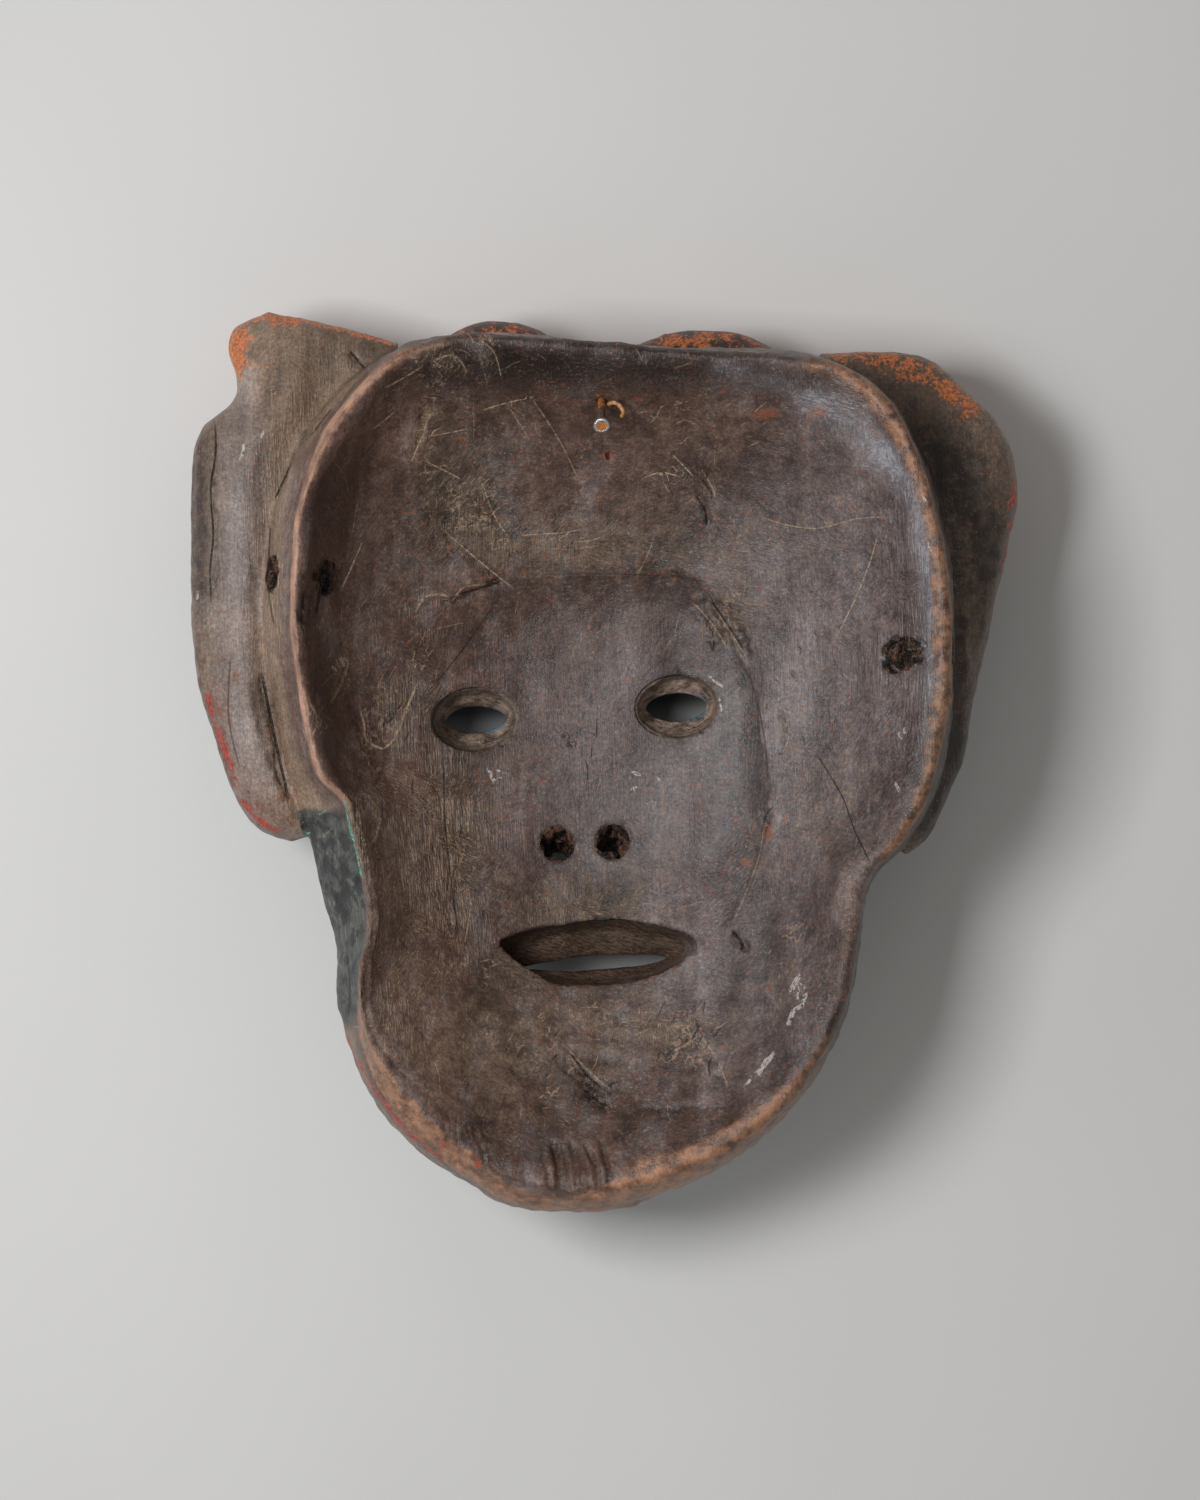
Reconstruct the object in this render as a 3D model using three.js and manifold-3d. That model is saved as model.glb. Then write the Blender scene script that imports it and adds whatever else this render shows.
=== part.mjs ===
// A wall mask carved from one block of wood, lying face down with its hollow back up.
// Millimetres. +X is right and +Y the crown as seen from the hollow side, and +Z is up, out of the hollow.
import * as THREE from "three";
import Module from "manifold-3d";

const wasm = await Module();
wasm.setup();

// Driving dimensions. Outline points are [x, y, z] about a point near the middle of the mask.
const BOWL_CENTRE = { x: 3, y: -3 };

const RIM_RIGHT = [
  [101.4, 72, 91], [105, 51, 92], [105.9, 30, 92], [104.1, 7.5, 92], [99, -13.5, 91], [90, -28.8, 88],
];
const RIM_JAW = [
  [80.1, -40.5, 86], [75.9, -69, 84.5], [69, -88.5, 84], [55.5, -108, 83], [36, -123, 81.5],
  [15, -131.7, 80.5], [-6, -135, 80], [-27, -131.4, 80.5], [-48, -118.5, 82], [-62.4, -102, 83.5],
  [-71.4, -84, 84.5], [-72.6, -67.5, 85],
];
const RIM_CHIPPED = [[-69.9, -52.5, 85], [-72.6, -33.6, 84.5], [-76.8, -16.5, 85], [-85.5, -6.6, 88]];
const RIM_LEFT = [
  [-89.7, 12, 91], [-92.7, 33, 92], [-93, 52.5, 92], [-90.9, 73.5, 91.5], [-84, 93, 90.5],
  [-72.6, 109.5, 89],
];
const RIM_CROWN = [
  [-62.4, 119.1, 88], [-51, 123.6, 87], [-36, 125.7, 86.5], [-12, 123.9, 86], [30, 120.9, 86],
];
const RIM_TEMPLE = [[60, 118.8, 87], [75.6, 114.6, 88], [87, 105, 89], [95.4, 90, 90.5]];
const RIM = [...RIM_RIGHT, ...RIM_JAW, ...RIM_CHIPPED, ...RIM_LEFT, ...RIM_CROWN, ...RIM_TEMPLE];

const FOOT_RIGHT = [[105, 72, 56], [108, 50, 56], [108, 10, 56], [102, -15, 54], [93, -30, 54]];
const FOOT_JAW = [
  [82.1, -42.3, 55], [77.8, -69, 56], [73.2, -86.2, 57], [61.8, -105.6, 58], [45, -122.8, 58],
  [24, -133.8, 58], [3, -140.4, 57], [-12.3, -141, 57], [-31.4, -138, 57], [-53, -124.6, 57],
  [-69, -107.6, 57], [-77.2, -89.4, 57],
];
const FOOT_LEFT = [
  [-81.2, -73.5, 56], [-81.2, -59.7, 56], [-84.3, -47.5, 57], [-87.9, -32.2, 58], [-94, -12, 56],
  [-100, 10, 56], [-103, 40, 56], [-102, 62, 56], [-97, 84, 56],
];
const FOOT_CROWN = [
  [-86, 104, 54], [-72, 118, 52], [-55, 126, 50], [-36, 128.5, 48], [-12, 126.5, 48], [30, 123.5, 48],
  [60, 122.5, 50], [78, 116, 52], [90, 106, 54], [99, 91, 55],
];
const FOOT = [...FOOT_RIGHT, ...FOOT_JAW, ...FOOT_LEFT, ...FOOT_CROWN];

// Each cross section of a side lobe runs from its edge [x, y] to its root [x, y] inside the block.
const LEFT_LOBE = [
  [[-95.5, -28.6], [-78, -23]], [[-105.6, -24.6], [-79, -17]], [[-112, -16], [-82, -10]],
  [[-119, 1.3], [-84, 5]], [[-124.2, 20], [-86, 22]], [[-126.4, 40], [-87, 42]],
  [[-126.8, 65], [-86, 62]], [[-126.6, 88], [-83, 80]], [[-123, 99.8], [-80, 88]],
  [[-113.6, 108.4], [-76, 96]], [[-113, 115.4], [-72, 102]], [[-115.6, 124], [-67, 109]],
  [[-113, 131.6], [-64, 117]], [[-103, 136.2], [-62, 126.5]],
];
const RIGHT_LOBE = [
  [[95, -32.3], [82, -26]], [[102.4, -26.6], [84, -20]], [[108.6, -13], [88, -8]],
  [[112.8, -1.5], [90, 4]], [[117, 21], [92, 22]], [[122, 43], [93, 42]], [[126.8, 64.6], [92, 60]],
  [[129, 79], [90, 70]], [[127.4, 92.6], [86, 80]], [[122.6, 101.8], [82, 88]],
  [[113, 111.8], [78, 95]], [[105, 119.5], [74, 102]], [[99, 122.8], [70, 112]],
  [[92, 124], [68, 122.5]],
];
// The back height of a lobe from root to edge, as [share of the way out, height].
const LEFT_LOBE_BACK = [[0, 57], [0.34, 57.5], [0.58, 62], [0.8, 57.5], [0.94, 52]];
const RIGHT_LOBE_BACK = [[0, 57], [0.34, 56], [0.58, 55.5], [0.8, 53.5], [0.94, 50.5]];
const LOBE_THICKNESS = 17;
const LOBE_TOP_FALL = 6;

// The bowl is a wide dish with a steeper wall under the rim, tallest on the left.
const FLOOR_HEIGHT = 35;
const POCKET_DEPTH = 3.5;
const POCKET = { x: -2, y: -2, halfWidth: 52, halfLength: 55 };
const DISH_POWER = 2.5;
const WALL = { least: 5, tallest: 24, tallestAngle: THREE.MathUtils.degToRad(160), narrow: 12, wide: 22 };
const LIP_DROP = 4;
const LIP_OUTER_ROUND = 2.5;
const LIP_CREST = 0.7;
const LIP_WIDTH = { top: 7, left: 5, right: 8, bottom: 10 };

const FACE_LEVEL = 20;
const FACE_EDGE_LEVEL = 40;
const FACE_EDGE_SHARE = 0.92;

// The face follows plain studio proportions from one size, the height of a head.
const HEAD_HEIGHT = 225;
const FACE_AXIS = { x: -7.5, y: 124 - HEAD_HEIGHT / 2, tilt: THREE.MathUtils.degToRad(3.5) };
const EYE_SPACING = HEAD_HEIGHT * 0.28;
const NOSE_BASE = -HEAD_HEIGHT * 0.18;
const MOUTH_LINE = -HEAD_HEIGHT * 0.35;
const CHIN_LINE = -HEAD_HEIGHT * 0.475;
const HAIRLINE = HEAD_HEIGHT * 0.3;
const HAIR_RELIEF = 14;
const EYE_SLIT = { length: 19.5, height: 8.5, backLength: 25, backHeight: 18 };
const MOUTH_SLIT = { length: 50, height: 5, backLength: 61, backHeight: 19, backRise: 4 };
const NOSTRIL = { spacing: 18, backWidth: 9, frontWidth: 6 };

// Heights and sizes of the features that stand out of the plain face.
const NOSE = {
  top: 12, tip: NOSE_BASE + 4, bridgeHeight: 3, tipHeight: 21.8, bridgeWidth: 6, tipWidth: 12.5,
};
const NOSE_WING = { across: 11.5, height: 8, width: 5.5, length: 6.5 };
const BROW = { across: 27, up: 18, height: 4, halfLength: 30, width: 6, drop: 9 };
const SOCKET = { height: 3.5, halfWidth: 22, halfHeight: 12 };
const EYEBALL = { height: 5.5, halfWidth: 18, halfHeight: 11 };
const CHEEK = { across: 38, below: 37, height: 5, size: 24 };
const MUZZLE = { height: 3, halfWidth: 36, halfHeight: 24 };
const UPPER_LIP = { up: 6.5, height: 5, halfWidth: 25, thickness: 4.6, bow: 1.6 };
const LOWER_LIP = { up: -7.5, height: 5.5, halfWidth: 21, thickness: 5.4 };
const CHIN = { height: 6.5, halfWidth: 25, halfHeight: 14 };

const CURLS = [
  { x: -86, y: 106, z: 28, across: 27, along: 27, front: 28.8, back: 19 },
  { x: -31, y: 108, z: 30, across: 27, along: 26, front: 27, back: 14 },
  { x: 32, y: 105.5, z: 30, across: 34, along: 26, front: 27, back: 14 },
  { x: 88, y: 98, z: 28, across: 26, along: 26, front: 28.8, back: 19 },
];

const LEFT_CORD_HOLE = { from: [-78, 52, 70], to: [-108, 54.5, 66], width: 9.5 };
const RIGHT_CORD_HOLE = { from: [84, 28.5, 71.5], to: [116, 30, 66], width: 11 };

const FIT_GAP = 0.3;
const SLIVER = 0.05;
const NAIL = {
  x: 0.5, y: 106.5, lean: 33, shankWidth: 2.1, headWidth: 4.9, headHeight: 1.1, stand: 16, bite: 8,
};
const WIRE = {
  width: 1.1,
  bite: 5,
  path: [[2.9, 105.4], [4.4, 105.6], [6.1, 104.5], [7, 102.7], [6.5, 101.2]],
  stand: [3.5, 5.5, 6, 5.8, 5.2],
};
const PIN_HOLE = { x: 2.5, y: 91, width: 1.5, depth: 4 };

// One closed skin from a first point, rings of points going outward and back, and a last point.
function skin(first, rings, last) {
  const perRing = rings[0].length;
  const points = [first, ...rings.flat(), last];
  const at = (ring, step) => 1 + ring * perRing + (step % perRing);
  const faces = [];
  for (let step = 0; step < perRing; step += 1) {
    faces.push(0, at(0, step), at(0, step + 1));
    for (let ring = 0; ring + 1 < rings.length; ring += 1) {
      faces.push(at(ring, step), at(ring + 1, step), at(ring + 1, step + 1));
      faces.push(at(ring, step), at(ring + 1, step + 1), at(ring, step + 1));
    }
    faces.push(at(rings.length - 1, step), points.length - 1, at(rings.length - 1, step + 1));
  }
  return solidFrom(points.flat(), faces);
}

function solidFrom(positions, faces) {
  const mesh = new wasm.Mesh({
    numProp: 3,
    vertProperties: Float32Array.from(positions),
    triVerts: Uint32Array.from(faces),
  });
  return new wasm.Manifold(mesh);
}

// A plain shape moved into place and closed into a solid whose faces share their corners.
function solidOf(geometry, matrix) {
  const placed = geometry.clone();
  if (matrix) placed.applyMatrix4(matrix);
  const source = placed.getAttribute("position");
  const counted = Array.from({ length: source.count }, (_, i) => i);
  const order = placed.index ? Array.from(placed.index.array) : counted;
  const seen = new Map();
  const positions = [];
  const shared = order.map((vertex) => {
    const point = [source.getX(vertex), source.getY(vertex), source.getZ(vertex)];
    const key = point.map((value) => value.toFixed(4)).join(" ");
    if (!seen.has(key)) {
      seen.set(key, positions.length / 3);
      positions.push(...point);
    }
    return seen.get(key);
  });
  const faces = [];
  for (let i = 0; i < shared.length; i += 3) {
    const [a, b, c] = shared.slice(i, i + 3);
    if (a !== b && b !== c && c !== a) faces.push(a, b, c);
  }
  return solidFrom(positions, faces);
}

// Cutting leaves slivers. Corners closer than SLIVER are joined, and faces that close up are left out.
function geometryOf(solid) {
  const { vertProperties: positions, triVerts: corners } = solid.getMesh();
  const joined = Array.from({ length: positions.length / 3 }, (_, i) => i);
  const root = (i) => (joined[i] === i ? i : root(joined[i]));
  const gap = (a, b) => Math.hypot(...[0, 1, 2].map((k) => positions[3 * a + k] - positions[3 * b + k]));
  for (let i = 0; i < corners.length; i += 1) {
    const next = i % 3 === 2 ? i - 2 : i + 1;
    const [a, b] = [root(corners[i]), root(corners[next])];
    if (a !== b && gap(a, b) < SLIVER) joined[Math.max(a, b)] = Math.min(a, b);
  }
  const faces = new Map();
  for (let i = 0; i < corners.length; i += 3) {
    const face = [root(corners[i]), root(corners[i + 1]), root(corners[i + 2])];
    if (new Set(face).size < 3) continue;
    const key = [...face].sort((a, b) => a - b).join(" ");
    if (faces.has(key)) faces.delete(key);
    else faces.set(key, face);
  }
  const geometry = new THREE.BufferGeometry();
  geometry.setAttribute("position", new THREE.BufferAttribute(new Float32Array(positions), 3));
  geometry.setIndex([...faces.values()].flat());
  geometry.computeVertexNormals();
  return geometry;
}

function smooth(from, to, value) {
  const share = THREE.MathUtils.clamp((value - from) / (to - from), 0, 1);
  return share * share * (3 - 2 * share);
}

const bell = (distance) => Math.exp(-distance * distance);
const closedCurve = (points) =>
  new THREE.CatmullRomCurve3(points.map((point) => new THREE.Vector3(...point)), true, "catmullrom", 0.5);

// A closed outline read as radius and height at any angle about the bowl's centre.
function polarLoop(points) {
  const samples = closedCurve(points).getPoints(points.length * 12).map((point) => {
    const x = point.x - BOWL_CENTRE.x;
    const y = point.y - BOWL_CENTRE.y;
    return { angle: Math.atan2(y, x), radius: Math.hypot(x, y), height: point.z };
  });
  samples.sort((a, b) => a.angle - b.angle);
  const turn = 2 * Math.PI;
  const firstWrapped = { ...samples[0], angle: samples[0].angle + turn };
  const lastWrapped = { ...samples.at(-1), angle: samples.at(-1).angle - turn };
  const loop = [lastWrapped, ...samples, firstWrapped];
  return (angle) => {
    const wanted = Math.atan2(Math.sin(angle), Math.cos(angle));
    const next = Math.max(1, loop.findIndex((sample) => sample.angle >= wanted));
    const [before, after] = [loop[next - 1], loop[next]];
    const share = (wanted - before.angle) / Math.max(after.angle - before.angle, 1e-9);
    const blend = (key) => THREE.MathUtils.lerp(before[key], after[key], share);
    return { radius: blend("radius"), height: blend("height") };
  };
}

const rimAt = polarLoop(RIM);
const footAt = polarLoop(FOOT);

function lipWidthAt(angle) {
  const lift = Math.sin(angle);
  const end = lift > 0 ? LIP_WIDTH.top : LIP_WIDTH.bottom;
  const side = Math.cos(angle) > 0 ? LIP_WIDTH.right : LIP_WIDTH.left;
  return THREE.MathUtils.lerp(side, end, lift * lift);
}

function pocketDepth(x, y) {
  const across = Math.abs((x - POCKET.x) / POCKET.halfWidth);
  const along = Math.abs((y - POCKET.y) / POCKET.halfLength);
  return POCKET_DEPTH * (1 - smooth(0.8, 1.15, Math.hypot(across ** 2, along ** 2)));
}

function reachAt(angle) {
  return rimAt(angle).radius - lipWidthAt(angle);
}

// The dish follows the rim only loosely, so the narrow jaw doesn't crease the floor.
function calmReachAt(angle) {
  const nearby = Array.from({ length: 9 }, (_, i) => reachAt(angle + (i - 4) / 8));
  return nearby.reduce((sum, reach) => sum + reach, 0) / nearby.length;
}

function bowlHeight(angle, share) {
  const reach = reachAt(angle);
  const calm = calmReachAt(angle);
  const wallTop = rimAt(angle).height - LIP_DROP;
  const tall = Math.max(0, Math.cos(angle - WALL.tallestAngle)) ** 2;
  const wall = THREE.MathUtils.lerp(WALL.least, WALL.tallest, tall);
  const wallWidth = THREE.MathUtils.lerp(WALL.wide, WALL.narrow, tall);
  const dish = wallTop - FLOOR_HEIGHT - wall;
  const dishAt = (radius) => FLOOR_HEIGHT + dish * (radius / calm) ** DISH_POWER;
  const climb = Math.max(0, 1 - ((1 - share) * reach) / wallWidth) ** 2;
  return dishAt(share * reach) + (wallTop - dishAt(reach)) * climb;
}

function hollowHeight(x, y) {
  const angle = Math.atan2(y - BOWL_CENTRE.y, x - BOWL_CENTRE.x);
  const share = Math.hypot(x - BOWL_CENTRE.x, y - BOWL_CENTRE.y) / reachAt(angle);
  return bowlHeight(angle, Math.min(share, 1)) - pocketDepth(x, y);
}

// Places on the face are given across (u) and up (v) from a point between the eyes.
function fromFace(u, v) {
  const cos = Math.cos(FACE_AXIS.tilt);
  const sin = Math.sin(FACE_AXIS.tilt);
  return { x: FACE_AXIS.x + u * cos - v * sin, y: FACE_AXIS.y + u * sin + v * cos };
}

function ontoFace(x, y) {
  const cos = Math.cos(FACE_AXIS.tilt);
  const sin = Math.sin(FACE_AXIS.tilt);
  const [across, up] = [x - FACE_AXIS.x, y - FACE_AXIS.y];
  return { u: across * cos + up * sin, v: up * cos - across * sin };
}

function noseRelief(side, v) {
  const down = THREE.MathUtils.clamp((NOSE.top - v) / (NOSE.top - NOSE.tip), 0, 1);
  const start = smooth(NOSE.top + 8, NOSE.top - 6, v);
  const end = smooth(NOSE.tip - 11, NOSE.tip - 1, v);
  const height = NOSE.bridgeHeight + (NOSE.tipHeight - NOSE.bridgeHeight) * down ** 1.5;
  const width = THREE.MathUtils.lerp(NOSE.bridgeWidth, NOSE.tipWidth, down);
  const bridge = height * start * end * Math.exp(-((side / width) ** 2.6));
  const wing = NOSE_WING.height * bell((side - NOSE_WING.across) / NOSE_WING.width);
  return Math.max(bridge, wing * bell((v - NOSE.tip - 1) / NOSE_WING.length));
}

function eyeRelief(side, v) {
  const out = (side - BROW.across) / BROW.halfLength;
  const browLine = BROW.up - BROW.drop * out * out;
  const brow = BROW.height * bell((v - browLine) / BROW.width) * smooth(1.15, 0.75, Math.abs(out));
  const across = side - EYE_SPACING / 2;
  const socket = SOCKET.height * bell(across / SOCKET.halfWidth) * bell((v - 1) / SOCKET.halfHeight);
  const round = 1 - (across / EYEBALL.halfWidth) ** 2 - (v / EYEBALL.halfHeight) ** 2;
  return brow - socket + EYEBALL.height * Math.sqrt(Math.max(0, round));
}

function mouthRelief(u, v) {
  const side = Math.abs(u);
  const above = v - MOUTH_LINE;
  const muzzle = MUZZLE.height * bell(u / MUZZLE.halfWidth) * bell(above / MUZZLE.halfHeight);
  const bow = UPPER_LIP.bow * (bell((side - 6) / 5) - bell(u / 3));
  const upper = bell((above - UPPER_LIP.up - bow) / UPPER_LIP.thickness) * bell(u / UPPER_LIP.halfWidth);
  const lower = bell((above - LOWER_LIP.up) / LOWER_LIP.thickness) * bell(u / LOWER_LIP.halfWidth);
  return muzzle + UPPER_LIP.height * upper + LOWER_LIP.height * lower;
}

function faceRelief(x, y) {
  const { u, v } = ontoFace(x, y);
  const side = Math.abs(u);
  const cheek = bell((side - CHEEK.across) / CHEEK.size) * bell((v + CHEEK.below) / CHEEK.size);
  const chin = bell(u / CHIN.halfWidth) * bell((v - CHIN_LINE) / CHIN.halfHeight);
  const hair = smooth(HAIRLINE, HAIRLINE + 12, v);
  const features = noseRelief(side, v) + eyeRelief(side, v) + mouthRelief(u, v);
  return features + CHEEK.height * cheek + CHIN.height * chin + HAIR_RELIEF * hair;
}

// The front of the block is a shallow dome with the face carved on it.
function frontHeight(x, y) {
  const angle = Math.atan2(y - BOWL_CENTRE.y, x - BOWL_CENTRE.x);
  const reach = footAt(angle).radius * FACE_EDGE_SHARE;
  const share = Math.min(1, Math.hypot(x - BOWL_CENTRE.x, y - BOWL_CENTRE.y) / reach);
  return FACE_LEVEL + (FACE_EDGE_LEVEL - FACE_LEVEL) * share ** 3 - faceRelief(x, y);
}

// The block with its bowl: each angle has one profile, from the hollow's middle over the rim to the face.
function profileAt(angle, counts) {
  const rim = rimAt(angle);
  const foot = footAt(angle);
  const lip = lipWidthAt(angle);
  const reach = rim.radius - lip;
  const points = [];
  for (let i = 1; i <= counts.bowl; i += 1) {
    const share = 1 - (1 - i / counts.bowl) ** 1.6;
    points.push({ radius: share * reach, height: bowlHeight(angle, share), zone: "bowl" });
  }
  for (let i = 1; i <= counts.lip; i += 1) {
    const s = i / counts.lip;
    const inner = LIP_DROP * Math.max(0, 1 - s / LIP_CREST) ** 2;
    const outer = LIP_OUTER_ROUND * Math.max(0, (s - LIP_CREST) / (1 - LIP_CREST)) ** 2;
    points.push({ radius: reach + lip * s, height: rim.height - inner - outer, zone: "lip" });
  }
  const flankTop = rim.height - LIP_OUTER_ROUND;
  for (let i = 1; i <= counts.flank; i += 1) {
    const s = i / counts.flank;
    const radius = THREE.MathUtils.lerp(rim.radius, foot.radius, s * s * (3 - 2 * s));
    points.push({ radius, height: THREE.MathUtils.lerp(flankTop, foot.height, s), zone: "flank" });
  }
  const frontRadius = foot.radius * FACE_EDGE_SHARE;
  for (let i = 1; i <= counts.edge; i += 1) {
    const turn = (i / counts.edge) * (Math.PI / 2);
    const radius = frontRadius + (foot.radius - frontRadius) * Math.cos(turn);
    const height = foot.height - (foot.height - FACE_EDGE_LEVEL) * Math.sin(turn);
    points.push({ radius, height, zone: "edge" });
  }
  for (let i = 1; i < counts.face; i += 1) {
    points.push({ radius: frontRadius * (1 - i / counts.face), zone: "face" });
  }
  return points;
}

function block() {
  const angles = 76;
  const counts = { bowl: 8, lip: 4, flank: 2, edge: 3, face: 18 };
  const { x: cx, y: cy } = BOWL_CENTRE;
  const turns = Array.from({ length: angles }, (_, j) => (j / angles) * 2 * Math.PI);
  const profiles = turns.map((angle) => profileAt(angle, counts));
  const rings = profiles[0].map((_, i) =>
    profiles.map((profile, j) => {
      const angle = turns[j];
      const { radius, height, zone } = profile[i];
      const x = cx + radius * Math.cos(angle);
      const y = cy + radius * Math.sin(angle);
      const pocket = zone === "bowl" ? pocketDepth(x, y) : 0;
      return [x, y, zone === "face" ? frontHeight(x, y) : height - pocket];
    }),
  );
  return skin([cx, cy, FLOOR_HEIGHT - pocketDepth(cx, cy)], rings, [cx, cy, frontHeight(cx, cy)]);
}

// A side lobe: a thick leaf of wood with a rounded edge, lofted through its cross sections.
function lobe(sections, backProfile) {
  const stations = 22;
  const edge = openCurve(sections.map(([outer]) => outer)).getPoints(stations);
  const root = openCurve(sections.map(([, inner]) => inner)).getPoints(stations);
  const rings = edge.map((outer, i) => {
    const along = i / stations;
    const slim = Math.sqrt(Math.max(0.08, 1 - Math.abs(2 * along - 1) ** 10));
    return lobeSection(outer, root[i], backProfile, slim);
  });
  const middle = (ring) => [0, 1, 2].map((k) => ring.reduce((sum, point) => sum + point[k] / ring.length, 0));
  const solid = skin(middle(rings[0]), rings, middle(rings.at(-1)));
  return solid.volume() > 0 ? solid : skin(middle(rings.at(-1)), [...rings].reverse(), middle(rings[0]));
}

// Towards its ends a lobe gets thinner and flatter.
function lobeSection(outer, inner, backProfile, slim) {
  const fall = LOBE_TOP_FALL * smooth(100, 134, outer.y);
  const level = backProfile.reduce((sum, [, height]) => sum + height / backProfile.length, 0);
  const half = (LOBE_THICKNESS / 2) * slim;
  const point = (share, height, lift) => [
    THREE.MathUtils.lerp(inner.x, outer.x, share),
    THREE.MathUtils.lerp(inner.y, outer.y, share),
    THREE.MathUtils.lerp(level, height, slim) - LOBE_THICKNESS / 2 - fall + lift,
  ];
  const edge = backProfile.at(-1)[1] - 1;
  const back = backProfile.map(([share, height]) => point(share, height, half));
  const front = backProfile.map(([share, height]) => point(share, height, -half));
  const rounding = [point(0.99, edge, half * 0.55), point(1, edge, 0), point(0.99, edge, -half * 0.55)];
  return [...back, ...rounding, ...front.reverse()];
}

function openCurve(points) {
  return new THREE.SplineCurve(points.map(([x, y]) => new THREE.Vector2(x, y)));
}

// A curl of hair: a ball of wood that is rounder towards the ground than towards the hollow.
function curl({ x, y, z, across, along, front, back }) {
  const ball = new THREE.SphereGeometry(1, 16, 10).rotateX(Math.PI / 2);
  const position = ball.getAttribute("position");
  for (let i = 0; i < position.count; i += 1) {
    const depth = position.getZ(i) < 0 ? front : back;
    position.setXYZ(i, position.getX(i) * across, position.getY(i) * along, position.getZ(i) * depth);
  }
  return solidOf(ball, new THREE.Matrix4().makeTranslation(x, y, z));
}

// Cutting shapes. A slit is a stack of lens outlines that opens out towards the hollow.
function lensRing(u, v, halfLength, halfHeight, z) {
  const steps = 20;
  return Array.from({ length: steps }, (_, i) => {
    const turn = (i / steps) * 2 * Math.PI;
    const rise = Math.sign(Math.sin(turn)) * Math.abs(Math.sin(turn)) ** 1.25;
    const { x, y } = fromFace(u + halfLength * Math.cos(turn), v + halfHeight * rise);
    return [x, y, z];
  });
}

function slit(u, v, size) {
  const backV = v + (size.backRise ?? 0);
  const bottom = fromFace(u, v);
  const top = fromFace(u, backV);
  const wide = [size.backLength / 2, size.backHeight / 2];
  const narrow = [size.length / 2, size.height / 2];
  const rings = [
    lensRing(u, backV, wide[0] * 1.1, wide[1] * 1.15, 45),
    lensRing(u, backV, ...wide, FLOOR_HEIGHT - POCKET_DEPTH),
    lensRing(u, v, ...narrow, FACE_LEVEL),
    lensRing(u, v, ...narrow, -5),
  ];
  return skin([top.x, top.y, 45], rings, [bottom.x, bottom.y, -5]);
}

function drill(from, to, fromWidth, toWidth) {
  const start = new THREE.Vector3(...from);
  const end = new THREE.Vector3(...to);
  const axis = end.clone().sub(start);
  const rod = new THREE.CylinderGeometry(toWidth / 2, fromWidth / 2, axis.length(), 14);
  const turn = new THREE.Quaternion().setFromUnitVectors(new THREE.Vector3(0, 1, 0), axis.normalize());
  const middle = start.add(end).multiplyScalar(0.5);
  return solidOf(rod, new THREE.Matrix4().compose(middle, turn, new THREE.Vector3(1, 1, 1)));
}

function nostril(side) {
  const back = fromFace((side * NOSTRIL.spacing) / 2, NOSE_BASE + 2);
  const front = fromFace(side * 7, NOSE_BASE - 12);
  return drill([back.x, back.y, 36], [front.x, front.y, 6], NOSTRIL.backWidth, NOSTRIL.frontWidth);
}

// The nail leans from the crown wall towards the middle of the hollow.
const nailLean = THREE.MathUtils.degToRad(NAIL.lean);
const nailAxis = new THREE.Vector3(0, -Math.sin(nailLean), Math.cos(nailLean));
const nailFoot = new THREE.Vector3(NAIL.x, NAIL.y, hollowHeight(NAIL.x, NAIL.y));

function nailSolid() {
  const shank = NAIL.shankWidth / 2;
  const head = NAIL.headWidth / 2;
  const profile = [
    [0, -NAIL.bite], [shank, -NAIL.bite + 2], [shank, NAIL.stand - NAIL.headHeight - 0.7],
    [head, NAIL.stand - NAIL.headHeight], [head, NAIL.stand - 0.3], [head - 0.5, NAIL.stand],
    [0, NAIL.stand + 0.2],
  ];
  const lathe = new THREE.LatheGeometry(profile.map(([r, h]) => new THREE.Vector2(r, h)), 16);
  const turn = new THREE.Quaternion().setFromUnitVectors(new THREE.Vector3(0, 1, 0), nailAxis);
  return solidOf(lathe, new THREE.Matrix4().compose(nailFoot, turn, new THREE.Vector3(1, 1, 1)));
}

function nailHole() {
  const deep = nailFoot.clone().addScaledVector(nailAxis, -NAIL.bite - FIT_GAP);
  const out = nailFoot.clone().addScaledVector(nailAxis, 6);
  const width = NAIL.shankWidth + 2 * FIT_GAP;
  return drill(deep.toArray(), out.toArray(), width, width);
}

// The wire rises from the wood beside the nail and bends over to the right.
const wireFoot = new THREE.Vector3(...WIRE.path[0], hollowHeight(...WIRE.path[0]));

function wireSolid() {
  const bend = WIRE.path.map(([x, y], i) => new THREE.Vector3(x, y, wireFoot.z + WIRE.stand[i]));
  const sunk = new THREE.Vector3(wireFoot.x, wireFoot.y, wireFoot.z - WIRE.bite);
  const path = new THREE.CatmullRomCurve3([sunk, wireFoot.clone(), ...bend]);
  const section = new THREE.Shape();
  section.absarc(0, 0, WIRE.width / 2, 0, 2 * Math.PI);
  const options = { extrudePath: path, steps: 20, curveSegments: 4, bevelEnabled: false };
  return solidOf(new THREE.ExtrudeGeometry(section, options));
}

function wireHole() {
  const width = WIRE.width + 2 * FIT_GAP + 0.2;
  const deep = [wireFoot.x, wireFoot.y, wireFoot.z - WIRE.bite - FIT_GAP];
  return drill(deep, [wireFoot.x, wireFoot.y, wireFoot.z + 3], width, width);
}

function pinHole() {
  const { x, y, depth, width } = PIN_HOLE;
  const top = hollowHeight(x, y);
  return drill([x, y, top - depth], [x, y, top + 2], 1, width);
}

function belowGround() {
  const slab = new THREE.BoxGeometry(400, 400, 40);
  return solidOf(slab, new THREE.Matrix4().makeTranslation(0, 0, -20));
}

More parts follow.
